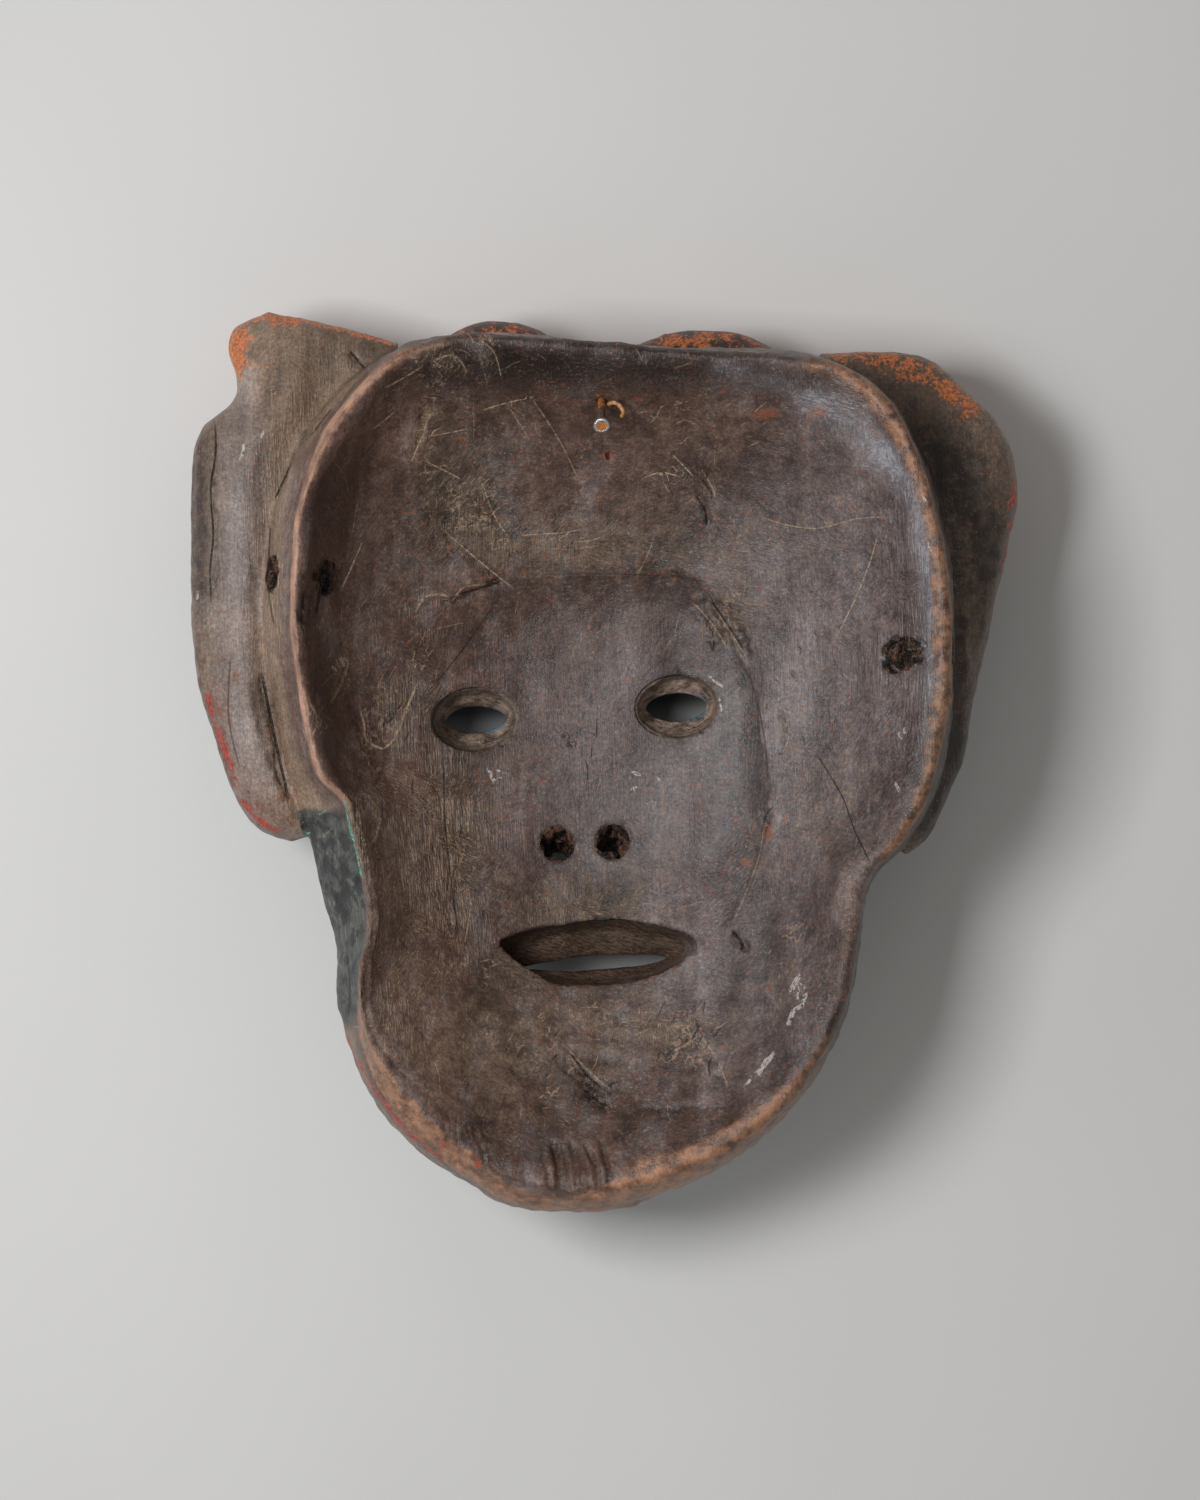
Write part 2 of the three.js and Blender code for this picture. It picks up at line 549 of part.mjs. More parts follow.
function carvedMask() {
  const eye = EYE_SPACING / 2;
  const cuts = [
    slit(-eye, 0, EYE_SLIT),
    slit(eye, 0, EYE_SLIT),
    slit(0, MOUTH_LINE, MOUTH_SLIT),
    nostril(-1),
    nostril(1),
    drill(LEFT_CORD_HOLE.from, LEFT_CORD_HOLE.to, LEFT_CORD_HOLE.width, LEFT_CORD_HOLE.width),
    drill(RIGHT_CORD_HOLE.from, RIGHT_CORD_HOLE.to, RIGHT_CORD_HOLE.width, RIGHT_CORD_HOLE.width),
    nailHole(),
    wireHole(),
    pinHole(),
    belowGround(),
  ];
  const lobes = [lobe(LEFT_LOBE, LEFT_LOBE_BACK), lobe(RIGHT_LOBE, RIGHT_LOBE_BACK)];
  const curls = CURLS.map(curl);
  let solid = block();
  for (const feature of [...lobes, ...curls]) solid = solid.add(feature);
  for (const cut of cuts) solid = solid.subtract(cut);
  return solid;
}

function named(name, solid, material) {
  const mesh = new THREE.Mesh(geometryOf(solid), material);
  mesh.name = name;
  return mesh;
}

const wood = new THREE.MeshStandardMaterial({ color: 0x5c4c44, roughness: 0.6, metalness: 0 });
const rustyIron = new THREE.MeshStandardMaterial({ color: 0x8a5a34, roughness: 0.7, metalness: 0.6 });
const rustyWire = new THREE.MeshStandardMaterial({ color: 0xa57b4c, roughness: 0.6, metalness: 0.6 });

const group = new THREE.Group();
group.add(named("carved_mask", carvedMask(), wood));
group.add(named("nail", nailSolid(), rustyIron));
group.add(named("wire_hook", wireSolid(), rustyWire));

// The origin is under the middle of the mask's box, on the surface it lies on.
const box = new THREE.Box3().setFromObject(group);
const middle = box.getCenter(new THREE.Vector3());
group.position.set(-middle.x, -middle.y, -box.min.z);

export default group;
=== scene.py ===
import math

import bpy
import numpy as np
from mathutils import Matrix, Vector


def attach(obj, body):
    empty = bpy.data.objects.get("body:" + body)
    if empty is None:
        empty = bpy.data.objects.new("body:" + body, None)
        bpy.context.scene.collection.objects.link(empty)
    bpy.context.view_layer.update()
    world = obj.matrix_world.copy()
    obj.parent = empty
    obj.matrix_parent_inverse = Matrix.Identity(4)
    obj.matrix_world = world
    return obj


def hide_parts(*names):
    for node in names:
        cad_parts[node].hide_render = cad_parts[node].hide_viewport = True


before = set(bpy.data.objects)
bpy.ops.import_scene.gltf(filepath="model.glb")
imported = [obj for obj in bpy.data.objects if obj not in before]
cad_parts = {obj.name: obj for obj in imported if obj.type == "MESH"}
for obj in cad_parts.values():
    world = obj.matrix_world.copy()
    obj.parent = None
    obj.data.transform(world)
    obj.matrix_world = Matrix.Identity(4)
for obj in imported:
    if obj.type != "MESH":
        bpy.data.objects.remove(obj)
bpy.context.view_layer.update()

# The camera looks straight down at the mask, which lies on its face. Its lens takes in 450 mm from
# top to bottom at the plane of the rim, 1.4 metres below. These sizes are metres.
EYE_HEIGHT = 1.490
RIM_DISTANCE = 1.400
VIEW_HEIGHT_AT_RIM = 0.450
SENSOR_MILLIMETRES = 36.0
VIEW_MIDDLE = (-0.00103, 0.00252)

lens = bpy.data.cameras.new("copy_stand_lens")
lens.sensor_width = SENSOR_MILLIMETRES
lens.lens = SENSOR_MILLIMETRES * RIM_DISTANCE / VIEW_HEIGHT_AT_RIM
camera = bpy.data.objects.new("copy_stand_camera", lens)
camera.location = (*VIEW_MIDDLE, EYE_HEIGHT)
bpy.context.scene.collection.objects.link(camera)
bpy.context.scene.camera = camera


# The mask lies on a wide board with pale grey paint that is only faintly rough. One soft lamp on
# the left and a weak bluish window light it, and the room throws a little light from all round.
def linear(red, green, blue):
    """A colour as a screen shows it, 0 to 255, turned into amounts of light by the sRGB rule."""
    shares = (red / 255, green / 255, blue / 255)
    return tuple(((share + 0.055) / 1.055) ** 2.4 if share > 0.04045 else share / 12.92 for share in shares)


def add_node(tree, kind, inputs=None, **settings):
    """A shader node with its settings, its inputs linked to other nodes or set to values."""
    made = tree.nodes.new("ShaderNode" + kind)
    for name, value in settings.items():
        setattr(made, name, value)
    for socket, value in (inputs or {}).items():
        if isinstance(value, bpy.types.NodeSocket):
            tree.links.new(value, made.inputs[socket])
        else:
            made.inputs[socket].default_value = value
    return made


def new_material(name, slot_colour):
    """An empty material, with the plain colour that stands for it outside a render."""
    material = bpy.data.materials.new(name)
    material.use_nodes = True
    material.diffuse_color = (*slot_colour, 1)
    material.node_tree.nodes.clear()
    return material, material.node_tree


def finish_material(tree, **sockets):
    """Puts the shader in, with each named socket set to a value or linked to a node."""
    named = {name.replace("_", " "): value for name, value in sockets.items()}
    shader = add_node(tree, "BsdfPrincipled", named)
    add_node(tree, "OutputMaterial", {"Surface": shader.outputs[0]})


BOARD_COLOUR = linear(226, 226, 225)
TOOTH_SCALE, CLOUD_SCALE = 900.0, 9.0
CLOUD_DARK, CLOUD_LIGHT = 0.97, 1.03
# A painted shadow darkens the board where the mask covers it, in an oval that reaches about 71 mm
# sideways and 91 mm up and down. It is darkest behind the upper half of the eye slits, so that the
# slits show shade. The slit line leans as the face does.
COVER_SHRINK = (14.0, 11.0, 0.0)
COVER_FADE = 0.75
SLIT_LINE_WAY = (-0.061, 1.0, 0.0)
SLIT_LINE_LOW, SLIT_LINE_HIGH = 0.011, 0.017
BELOW_SLIT_LINE, ABOVE_SLIT_LINE = 0.36, 0.08
board_material, tree = new_material("painted_board", BOARD_COLOUR)
place = add_node(tree, "TexCoord").outputs["Object"]
tooth = add_node(tree, "TexNoise", {"Vector": place, "Scale": TOOTH_SCALE, "Detail": 3.0})
cloud = add_node(tree, "TexNoise", {"Vector": place, "Scale": CLOUD_SCALE, "Detail": 2.0})
cloud_values = {"Value": cloud.outputs["Fac"], "To Min": CLOUD_DARK, "To Max": CLOUD_LIGHT}
cloud_shade = add_node(tree, "MapRange", cloud_values)
slope = add_node(tree, "VectorMath", {0: place, 1: SLIT_LINE_WAY}, operation="DOT_PRODUCT")
slit_values = {
    "Value": slope.outputs["Value"], "From Min": SLIT_LINE_LOW, "From Max": SLIT_LINE_HIGH,
    "To Min": BELOW_SLIT_LINE, "To Max": ABOVE_SLIT_LINE,
}
slit_painted_shadow = add_node(tree, "MapRange", slit_values)
covered = add_node(tree, "VectorMath", {0: place, 1: COVER_SHRINK}, operation="MULTIPLY")
covered = add_node(tree, "VectorMath", {0: covered.outputs[0]}, operation="LENGTH")
covered_values = {"Value": covered.outputs["Value"], "From Min": COVER_FADE, "From Max": 1.0}
covered_values["To Min"] = slit_painted_shadow.outputs[0]
cover_painted_shadow = add_node(tree, "MapRange", covered_values)
tone_values = {0: cloud_shade.outputs[0], 1: cover_painted_shadow.outputs[0]}
board_tone_and_painted_shadow = add_node(tree, "Math", tone_values, operation="MULTIPLY")
shade_values = {0: BOARD_COLOUR, "Scale": board_tone_and_painted_shadow.outputs[0]}
board_colour_with_painted_shadow = add_node(tree, "VectorMath", shade_values, operation="SCALE")
board_bump = add_node(tree, "Bump", {"Height": tooth.outputs["Fac"], "Strength": 0.12, "Distance": 0.0004})
finish_material(tree, Base_Color=board_colour_with_painted_shadow.outputs[0], Roughness=0.75, Normal=board_bump.outputs[0])

BOARD_HALF = 3.0
board_mesh = bpy.data.meshes.new("board")
corners = [(x * BOARD_HALF, y * BOARD_HALF, 0) for x, y in ((-1, -1), (1, -1), (1, 1), (-1, 1))]
board_mesh.from_pydata(corners, [], [(0, 1, 2, 3)])
board = bpy.data.objects.new("board", board_mesh)
board_mesh.materials.append(board_material)
bpy.context.scene.collection.objects.link(board)

KEY_PLACE, KEY_SIZE, KEY_POWER = Vector((-0.42, 0.08, 0.92)), 0.30, 5.75
LOW_PLACE, LOW_SIZE, LOW_POWER = Vector((-1.15, -0.12, 0.46)), 0.55, 1.3
LOW_COLOUR = (0.82, 0.9, 1.0)
LIGHTS_AIM = Vector((0, 0, 0.05))
SKY_COLOUR = (1.0, 0.965, 0.93, 1)
SKY_STRENGTH = 0.26


def add_window(name, place, size, power, colour=(1, 1, 1)):
    """A square soft light that looks at the mask."""
    light = bpy.data.lights.new(name, "AREA")
    light.shape = "SQUARE"
    light.size = size
    light.energy = power
    light.color = colour
    lamp = bpy.data.objects.new(name, light)
    lamp.location = place
    lamp.rotation_mode = "QUATERNION"
    lamp.rotation_quaternion = (LIGHTS_AIM - place).to_track_quat("-Z", "Y")
    bpy.context.scene.collection.objects.link(lamp)


add_window("left_lamp", KEY_PLACE, KEY_SIZE, KEY_POWER)
add_window("low_window", LOW_PLACE, LOW_SIZE, LOW_POWER, LOW_COLOUR)
world = bpy.data.worlds.new("room")
world.use_nodes = True
sky = world.node_tree.nodes["Background"]
sky.inputs["Color"].default_value = SKY_COLOUR
sky.inputs["Strength"].default_value = SKY_STRENGTH
bpy.context.scene.world = world
bpy.context.scene.view_settings.view_transform = "Standard"

# The mask: one block of wood, hollowed to a bowl behind the face, with two wide side lobes and
# four curls of hair left standing when the outside was carved. The sizes below are millimetres
# about a point near the bowl's middle, and are the sizes of the part's own solid. Outlines hold
# places as across, up and, on the rim and its foot, height above the ground.
BOX_MIDDLE = (1.0297, -2.5191)
BOWL_CENTRE = (3.0, -3.0)
RIM = [
    (101.4, 72, 91), (105, 51, 92), (105.9, 30, 92), (104.1, 7.5, 92), (99, -13.5, 91), (90, -28.8, 88),
    (80.1, -40.5, 86), (75.9, -69, 84.5), (69, -88.5, 84), (55.5, -108, 83), (36, -123, 81.5),
    (15, -131.7, 80.5), (-6, -135, 80), (-27, -131.4, 80.5), (-48, -118.5, 82), (-62.4, -102, 83.5),
    (-71.4, -84, 84.5), (-72.6, -67.5, 85), (-69.9, -52.5, 85), (-72.6, -33.6, 84.5), (-76.8, -16.5, 85),
    (-85.5, -6.6, 88), (-89.7, 12, 91), (-92.7, 33, 92), (-93, 52.5, 92), (-90.9, 73.5, 91.5),
    (-84, 93, 90.5), (-72.6, 109.5, 89), (-62.4, 119.1, 88), (-51, 123.6, 87), (-36, 125.7, 86.5),
    (-12, 123.9, 86), (30, 120.9, 86), (60, 118.8, 87), (75.6, 114.6, 88), (87, 105, 89), (95.4, 90, 90.5),
]
FOOT = [
    (105, 72, 56), (108, 50, 56), (108, 10, 56), (102, -15, 54), (93, -30, 54), (82.1, -42.3, 55),
    (77.8, -69, 56), (73.2, -86.2, 57), (61.8, -105.6, 58), (45, -122.8, 58), (24, -133.8, 58),
    (3, -140.4, 57), (-12.3, -141, 57), (-31.4, -138, 57), (-53, -124.6, 57), (-69, -107.6, 57),
    (-77.2, -89.4, 57), (-81.2, -73.5, 56), (-81.2, -59.7, 56), (-84.3, -47.5, 57), (-87.9, -32.2, 58),
    (-94, -12, 56), (-100, 10, 56), (-103, 40, 56), (-102, 62, 56), (-97, 84, 56), (-86, 104, 54),
    (-72, 118, 52), (-55, 126, 50), (-36, 128.5, 48), (-12, 126.5, 48), (30, 123.5, 48), (60, 122.5, 50),
    (78, 116, 52), (90, 106, 54), (99, 91, 55),
]
LEFT_LOBE_EDGE = [
    (-95.5, -28.6), (-105.6, -24.6), (-112, -16), (-119, 1.3), (-124.2, 20), (-126.4, 40), (-126.8, 65),
    (-126.6, 88), (-123, 99.8), (-113.6, 108.4), (-113, 115.4), (-115.6, 124), (-113, 131.6), (-103, 136.2),
]
LEFT_LOBE_ROOT = [
    (-78, -23), (-79, -17), (-82, -10), (-84, 5), (-86, 22), (-87, 42), (-86, 62), (-83, 80), (-80, 88),
    (-76, 96), (-72, 102), (-67, 109), (-64, 117), (-62, 126.5),
]
RIGHT_LOBE_EDGE = [
    (95, -32.3), (102.4, -26.6), (108.6, -13), (112.8, -1.5), (117, 21), (122, 43), (126.8, 64.6), (129, 79),
    (127.4, 92.6), (122.6, 101.8), (113, 111.8), (105, 119.5), (99, 122.8), (92, 124),
]
RIGHT_LOBE_ROOT = [
    (82, -26), (84, -20), (88, -8), (90, 4), (92, 22), (93, 42), (92, 60), (90, 70), (86, 80), (82, 88),
    (78, 95), (74, 102), (70, 112), (68, 122.5),
]
LEFT_LOBE_BACK = [(0, 57), (0.34, 57.5), (0.58, 62), (0.8, 57.5), (0.94, 52)]
RIGHT_LOBE_BACK = [(0, 57), (0.34, 56), (0.58, 55.5), (0.8, 53.5), (0.94, 50.5)]
LOBE_THICKNESS = 17.0
LOBE_TOP_FALL = 6.0
FLOOR_HEIGHT = 35.0
POCKET_DEPTH = 3.5
POCKET_MIDDLE = (-2.0, -2.0)
POCKET_HALF = (52.0, 55.0)
DISH_POWER = 2.5
WALL_LEAST, WALL_TALLEST = 5.0, 24.0
WALL_TALLEST_ANGLE = math.radians(160)
WALL_NARROW, WALL_WIDE = 12.0, 22.0
LIP_DROP = 4.0
LIP_OUTER_ROUND = 2.5
LIP_CREST = 0.7
LIP_TOP, LIP_LEFT, LIP_RIGHT, LIP_BOTTOM = 7.0, 5.0, 8.0, 10.0
FACE_LEVEL, FACE_EDGE_LEVEL, FACE_EDGE_SHARE = 20.0, 40.0, 0.92
# Stretches round the rim are given by the degrees where they come in and where they go out.
CHEEK_COMES_IN, CHEEK_GOES_OUT = (184, 196), (228, 246)
CHEEK_LIP_THINNING, CHEEK_DROP_CUT = 0.65, 0.6
JAW_SHOULDER_IN, JAW_SHOULDER_OUT, JAW_SHOULDER_FULLNESS = (222, 236), (326, 340), 2.6
POCKET_SQUARENESS = 1.7
POCKET_EDGE_IN, POCKET_EDGE_OUT = (-70, -20), (105, 150)


def smooth(start, end, value):
    """0 up to the start and 1 from the end on, with a soft step between."""
    share = np.clip((value - start) / (end - start), 0, 1)
    return share * share * (3 - 2 * share)


def lerp(start, end, share):
    """The value a share of the way from the start to the end."""
    return start + (end - start) * share


def bell(distance):
    """1 at no distance, 0.37 at a distance of 1, and nearly 0 from 2 on."""
    return np.exp(-distance * distance)


def spline(points, places, closed=False):
    """An even curve through the points, read at places from 0 to 1."""
    points = np.asarray(points, float)
    count = len(points)
    spans = count if closed else count - 1
    along = np.asarray(places) * spans
    span = np.minimum(along.astype(int), spans - 1)
    u = (along - span)[:, None]
    near = [span + step for step in (-1, 0, 1, 2)]
    near = [index % count if closed else np.clip(index, 0, count - 1) for index in near]
    before, start, end, after = (points[index] for index in near)
    leave, arrive = (end - before) / 2, (after - start) / 2
    bend = (2 * u**3 - 3 * u**2 + 1) * start + (3 * u**2 - 2 * u**3) * end
    return bend + (u**3 - 2 * u**2 + u) * leave + (u**3 - u**2) * arrive


def polar_loop(points):
    """A closed outline as tables of angle, radius and height about the bowl's centre."""
    line = spline(points, np.linspace(0, 1, 1600, endpoint=False), closed=True)
    across, up = line[:, 0] - BOWL_CENTRE[0], line[:, 1] - BOWL_CENTRE[1]
    angle = np.arctan2(up, across)
    order = np.argsort(angle)
    return angle[order], np.hypot(across, up)[order], line[order, 2]


RIM_TABLE = polar_loop(RIM)
FOOT_TABLE = polar_loop(FOOT)


def read_loop(table, angle):
    """The radius and height of an outline at the given angles."""
    radius = np.interp(angle, table[0], table[1], period=2 * math.pi)
    height = np.interp(angle, table[0], table[2], period=2 * math.pi)
    return radius, height


def left_cheek(angle):
    """The stretch of rim beside the left cheek, where the bowl runs up gently to a sharp edge."""
    turn = np.degrees(angle) % 360
    return smooth(*CHEEK_COMES_IN, turn) * (1 - smooth(*CHEEK_GOES_OUT, turn))


def lip_width(angle):
    """How wide the rounded rim is, from the hollow's edge to the outside."""
    lift = np.sin(angle)
    end = np.where(lift > 0, LIP_TOP, LIP_BOTTOM)
    side = np.where(np.cos(angle) > 0, LIP_RIGHT, LIP_LEFT)
    return lerp(side, end, lift * lift) * (1 - CHEEK_LIP_THINNING * left_cheek(angle))


def lip_drop(angle):
    """How far the rim falls from its crest to the hollow's edge."""
    return LIP_DROP * (1 - CHEEK_DROP_CUT * left_cheek(angle))


def reach_at(angle):
    """How far the hollow reaches from the bowl's centre."""
    return read_loop(RIM_TABLE, angle)[0] - lip_width(angle)


def calm_reach(angle):
    """The reach evened out over nine angles, so the bowl's floor has no ridges."""
    return sum(reach_at(angle + step / 8) for step in range(-4, 5)) / 9


def pocket_place(x, y):
    """How far out in the face pocket a point is, 1 at its edge, and how sharp its edge is there."""
    across = (x - POCKET_MIDDLE[0]) / POCKET_HALF[0]
    along = (y - POCKET_MIDDLE[1]) / POCKET_HALF[1]
    turn = np.degrees(np.arctan2(along, across))
    sharp = smooth(*POCKET_EDGE_IN, turn) * (1 - smooth(*POCKET_EDGE_OUT, turn))
    return np.hypot(np.abs(across) ** POCKET_SQUARENESS, np.abs(along) ** POCKET_SQUARENESS), sharp


def pocket_depth(x, y):
    """How far the face pocket sinks below the bowl. Its edge is soft except at the top and right."""
    size, sharp = pocket_place(x, y)
    return POCKET_DEPTH * (1 - smooth(lerp(0.2, 0.75, sharp), lerp(1.5, 1.15, sharp), size))


def bowl_height(angle, share):
    """The plain bowl: a flat-bottomed dish whose walls climb to the rim, steepest on the left."""
    reach, calm = reach_at(angle), calm_reach(angle)
    wall_top = read_loop(RIM_TABLE, angle)[1] - lip_drop(angle)
    tall = np.maximum(0, np.cos(angle - WALL_TALLEST_ANGLE)) ** 2
    wall = lerp(WALL_LEAST, WALL_TALLEST, tall)
    wall_width = lerp(WALL_WIDE, WALL_NARROW, tall)
    dish = wall_top - FLOOR_HEIGHT - wall
    radius = share * reach
    dish_here = FLOOR_HEIGHT + dish * (radius / calm) ** DISH_POWER
    dish_end = FLOOR_HEIGHT + dish * (reach / calm) ** DISH_POWER
    climb = np.maximum(0, 1 - (reach - radius) / wall_width) ** 2
    return dish_here + (wall_top - dish_end) * climb


def hollow_height(x, y):
    """The height of the plain hollow above the ground."""
    across, up = np.asarray(x) - BOWL_CENTRE[0], np.asarray(y) - BOWL_CENTRE[1]
    angle = np.arctan2(up, across)
    share = np.minimum(1, np.hypot(across, up) / reach_at(angle))
    return bowl_height(angle, share) - pocket_depth(x, y)


# The face on the far side is a plain calm one, laid out from the height of a head by studio
# rules. Each form is a height in millimetres times bells or steps that place and round it.
HEAD_HEIGHT = 225.0
FACE_AXIS = (-7.5, 124 - HEAD_HEIGHT / 2)
FACE_TILT = math.radians(3.5)
EYE_SPACING = HEAD_HEIGHT * 0.28
NOSE_BASE = -HEAD_HEIGHT * 0.18
MOUTH_LINE = -HEAD_HEIGHT * 0.35
CHIN_LINE = -HEAD_HEIGHT * 0.475
HAIRLINE = HEAD_HEIGHT * 0.3
HAIR_RELIEF = 14.0


def from_face(across, up):
    """A place given along the face's own tilted lines, as a place on the mask."""
    cos, sin = math.cos(FACE_TILT), math.sin(FACE_TILT)
    return FACE_AXIS[0] + across * cos - up * sin, FACE_AXIS[1] + across * sin + up * cos


def onto_face(x, y):
    """A place on the mask, as a place along the face's own lines."""
    cos, sin = math.cos(FACE_TILT), math.sin(FACE_TILT)
    across, up = x - FACE_AXIS[0], y - FACE_AXIS[1]
    return across * cos + up * sin, up * cos - across * sin


def nose_relief(side, up):
    """A bridge that widens and rises down to the tip, with a wing on each side."""
    top, tip = 12.0, NOSE_BASE + 4
    down = np.clip((top - up) / (top - tip), 0, 1)
    start = 1 - smooth(top - 6, top + 8, up)
    end = smooth(tip - 11, tip - 1, up)
    height = 3 + 18.8 * down**1.5
    bridge = height * start * end * np.exp(-((side / lerp(6, 12.5, down)) ** 2.6))
    wing = 8 * bell((side - 11.5) / 5.5) * bell((up - tip - 1) / 6.5)
    return np.maximum(bridge, wing)


def eye_relief(side, up):
    """An arched brow, a shallow socket and the ball of the lid."""
    out = (side - 27) / 30
    brow = 4 * bell((up - 18 + 9 * out * out) / 6) * (1 - smooth(0.75, 1.15, np.abs(out)))
    across = side - EYE_SPACING / 2
    socket = 3.5 * bell(across / 22) * bell((up - 1) / 12)
    ball = 5.5 * np.sqrt(np.maximum(0, 1 - (across / 18) ** 2 - (up / 11) ** 2))
    return brow - socket + ball


def mouth_relief(across, up):
    """A rounded muzzle with a bowed upper lip and a fuller lower one."""
    above = up - MOUTH_LINE
    muzzle = 3 * bell(across / 36) * bell(above / 24)
    bow = 1.6 * (bell((np.abs(across) - 6) / 5) - bell(across / 3))
    upper = 5 * bell((above - 6.5 - bow) / 4.6) * bell(across / 25)
    lower = 5.5 * bell((above + 7.5) / 5.4) * bell(across / 21)
    return muzzle + upper + lower


def face_relief(x, y):
    """How far the face stands out, with its cheeks, its chin and the raised hair over its brow."""
    across, up = onto_face(x, y)
    side = np.abs(across)
    cheek = 5 * bell((side - 38) / 24) * bell((up + 37) / 24)
    chin = 6.5 * bell(across / 25) * bell((up - CHIN_LINE) / 14)
    hair = HAIR_RELIEF * smooth(HAIRLINE, HAIRLINE + 12, up)
    return nose_relief(side, up) + eye_relief(side, up) + mouth_relief(across, up) + cheek + chin + hair


def front_height(x, y):
    """The height of the far side above the ground, lowest where the face stands out most."""
    across, up = x - BOWL_CENTRE[0], y - BOWL_CENTRE[1]
    reach = read_loop(FOOT_TABLE, np.arctan2(up, across))[0] * FACE_EDGE_SHARE
    share = np.minimum(1, np.hypot(across, up) / reach)
    return FACE_LEVEL + (FACE_EDGE_LEVEL - FACE_LEVEL) * share**3 - face_relief(x, y)


def skin(first, rings, last):
    """Points and faces of one closed skin through rings of points."""
    rings = np.asarray(rings, float)
    count, around = rings.shape[:2]
    index = 1 + np.arange(count * around).reshape(count, around)
    turned = np.roll(index, -1, axis=1)
    quads = np.stack([index[:-1], index[1:], turned[1:], turned[:-1]], axis=-1).reshape(-1, 4).tolist()
    end = count * around + 1
    quads += [[0, a, b] for a, b in zip(index[0].tolist(), turned[0].tolist())]
    quads += [[a, end, b] for a, b in zip(index[-1].tolist(), turned[-1].tolist())]
    return np.vstack([first, rings.reshape(-1, 3), last]), quads


def new_solid(name, points, faces):
    """A new object with the given points and faces."""
    mesh = bpy.data.meshes.new(name)
    mesh.from_pydata(np.asarray(points).tolist(), [], faces)
    solid = bpy.data.objects.new(name, mesh)
    bpy.context.scene.collection.objects.link(solid)
    return solid


def settle(solid):
    """Turns a solid's modifiers into its mesh."""
    bpy.context.view_layer.update()
    graph = bpy.context.evaluated_depsgraph_get()
    settled = bpy.data.meshes.new_from_object(solid.evaluated_get(graph))
    solid.modifiers.clear()
    solid.data = settled


ANGLES = 600
BOWL_STEPS, LIP_STEPS, FLANK_STEPS, EDGE_STEPS, FACE_STEPS = 100, 14, 36, 10, 76


def block_rings():
    """Rings of points from the hollow's middle over the rim and down to the middle of the face."""
    angle = np.linspace(0, 2 * math.pi, ANGLES, endpoint=False)
    rim_radius, rim_height = read_loop(RIM_TABLE, angle)
    foot_radius, foot_height = read_loop(FOOT_TABLE, angle)
    lip = lip_width(angle)
    reach = rim_radius - lip
    cos, sin = np.cos(angle), np.sin(angle)
    rings = []

    def add(radius, height):
        ring = [BOWL_CENTRE[0] + radius * cos, BOWL_CENTRE[1] + radius * sin, height]
        rings.append(np.stack(ring, axis=1))

    # The hollow, the rounded rim, the flank, the turn under it and the face.
    for step in range(1, BOWL_STEPS + 1):
        share = step / BOWL_STEPS
        x, y = BOWL_CENTRE[0] + share * reach * cos, BOWL_CENTRE[1] + share * reach * sin
        add(share * reach, bowl_height(angle, share) - pocket_depth(x, y))
    for step in range(1, LIP_STEPS + 1):
        share = step / LIP_STEPS
        inner = lip_drop(angle) * max(0, 1 - share / LIP_CREST) ** 2
        outer = LIP_OUTER_ROUND * max(0, (share - LIP_CREST) / (1 - LIP_CREST)) ** 2
        add(reach + lip * share, rim_height - inner - outer)
    degrees = np.degrees(angle)
    shoulder = smooth(*JAW_SHOULDER_IN, degrees) * (1 - smooth(*JAW_SHOULDER_OUT, degrees))
    for step in range(1, FLANK_STEPS + 1):
        share = step / FLANK_STEPS
        full = 1 - (1 - share) ** JAW_SHOULDER_FULLNESS
        outward = lerp(share * share * (3 - 2 * share), full, shoulder)
        add(lerp(rim_radius, foot_radius, outward), lerp(rim_height - LIP_OUTER_ROUND, foot_height, share))
    front = foot_radius * FACE_EDGE_SHARE
    for step in range(1, EDGE_STEPS + 1):
        turn = step / EDGE_STEPS * math.pi / 2
        add(
            front + (foot_radius - front) * math.cos(turn),
            foot_height - (foot_height - FACE_EDGE_LEVEL) * math.sin(turn),
        )
    for step in range(1, FACE_STEPS):
        radius = front * (1 - step / FACE_STEPS)
        add(radius, front_height(BOWL_CENTRE[0] + radius * cos, BOWL_CENTRE[1] + radius * sin))
    return rings


LOBE_STATIONS, LOBE_AROUND = 180, 110


def lobe_solid(name, edge, root, back):
    """A thick leaf of wood, thinner and flatter towards its ends."""
    places = np.linspace(0, 1, LOBE_STATIONS + 1)
    outer, inner = spline(edge, places), spline(root, places)
    level = sum(height for _, height in back) / len(back)
    tip = back[-1][1] - 1
    rings = []
    for place, out, start in zip(places, outer, inner):
        slim = math.sqrt(max(0.08, 1 - abs(2 * place - 1) ** 10))
        fall = LOBE_TOP_FALL * float(smooth(100, 134, out[1]))
        half = LOBE_THICKNESS / 2 * slim
        upper = [(share, height, half) for share, height in back]
        rounding = [(0.99, tip, half * 0.55), (1, tip, 0), (0.99, tip, -half * 0.55)]
        lower = [(share, height, -half) for share, height in reversed(back)]
        section = spline(upper + rounding + lower, np.linspace(0, 1, LOBE_AROUND))
        flat = start + (out - start) * section[:, :1]
        height = lerp(level, section[:, 1], slim) - LOBE_THICKNESS / 2 - fall + section[:, 2]
        rings.append(np.column_stack([flat, height]))
    points, faces = skin(rings[0].mean(axis=0), rings, rings[-1].mean(axis=0))
    return new_solid(name, points, faces)


# Each curl is its middle's place and height, its half sizes across and along, and how far it
# bulges to the front and to the back.
CURLS = [
    (-86, 106, 28, 27, 27, 28.8, 19), (-31, 108, 30, 27, 26, 27, 14), (32, 105.5, 30, 34, 26, 27, 14),
    (88, 98, 28, 26, 26, 28.8, 19),
]
CURL_SIDES, CURL_TILTS = 96, 66


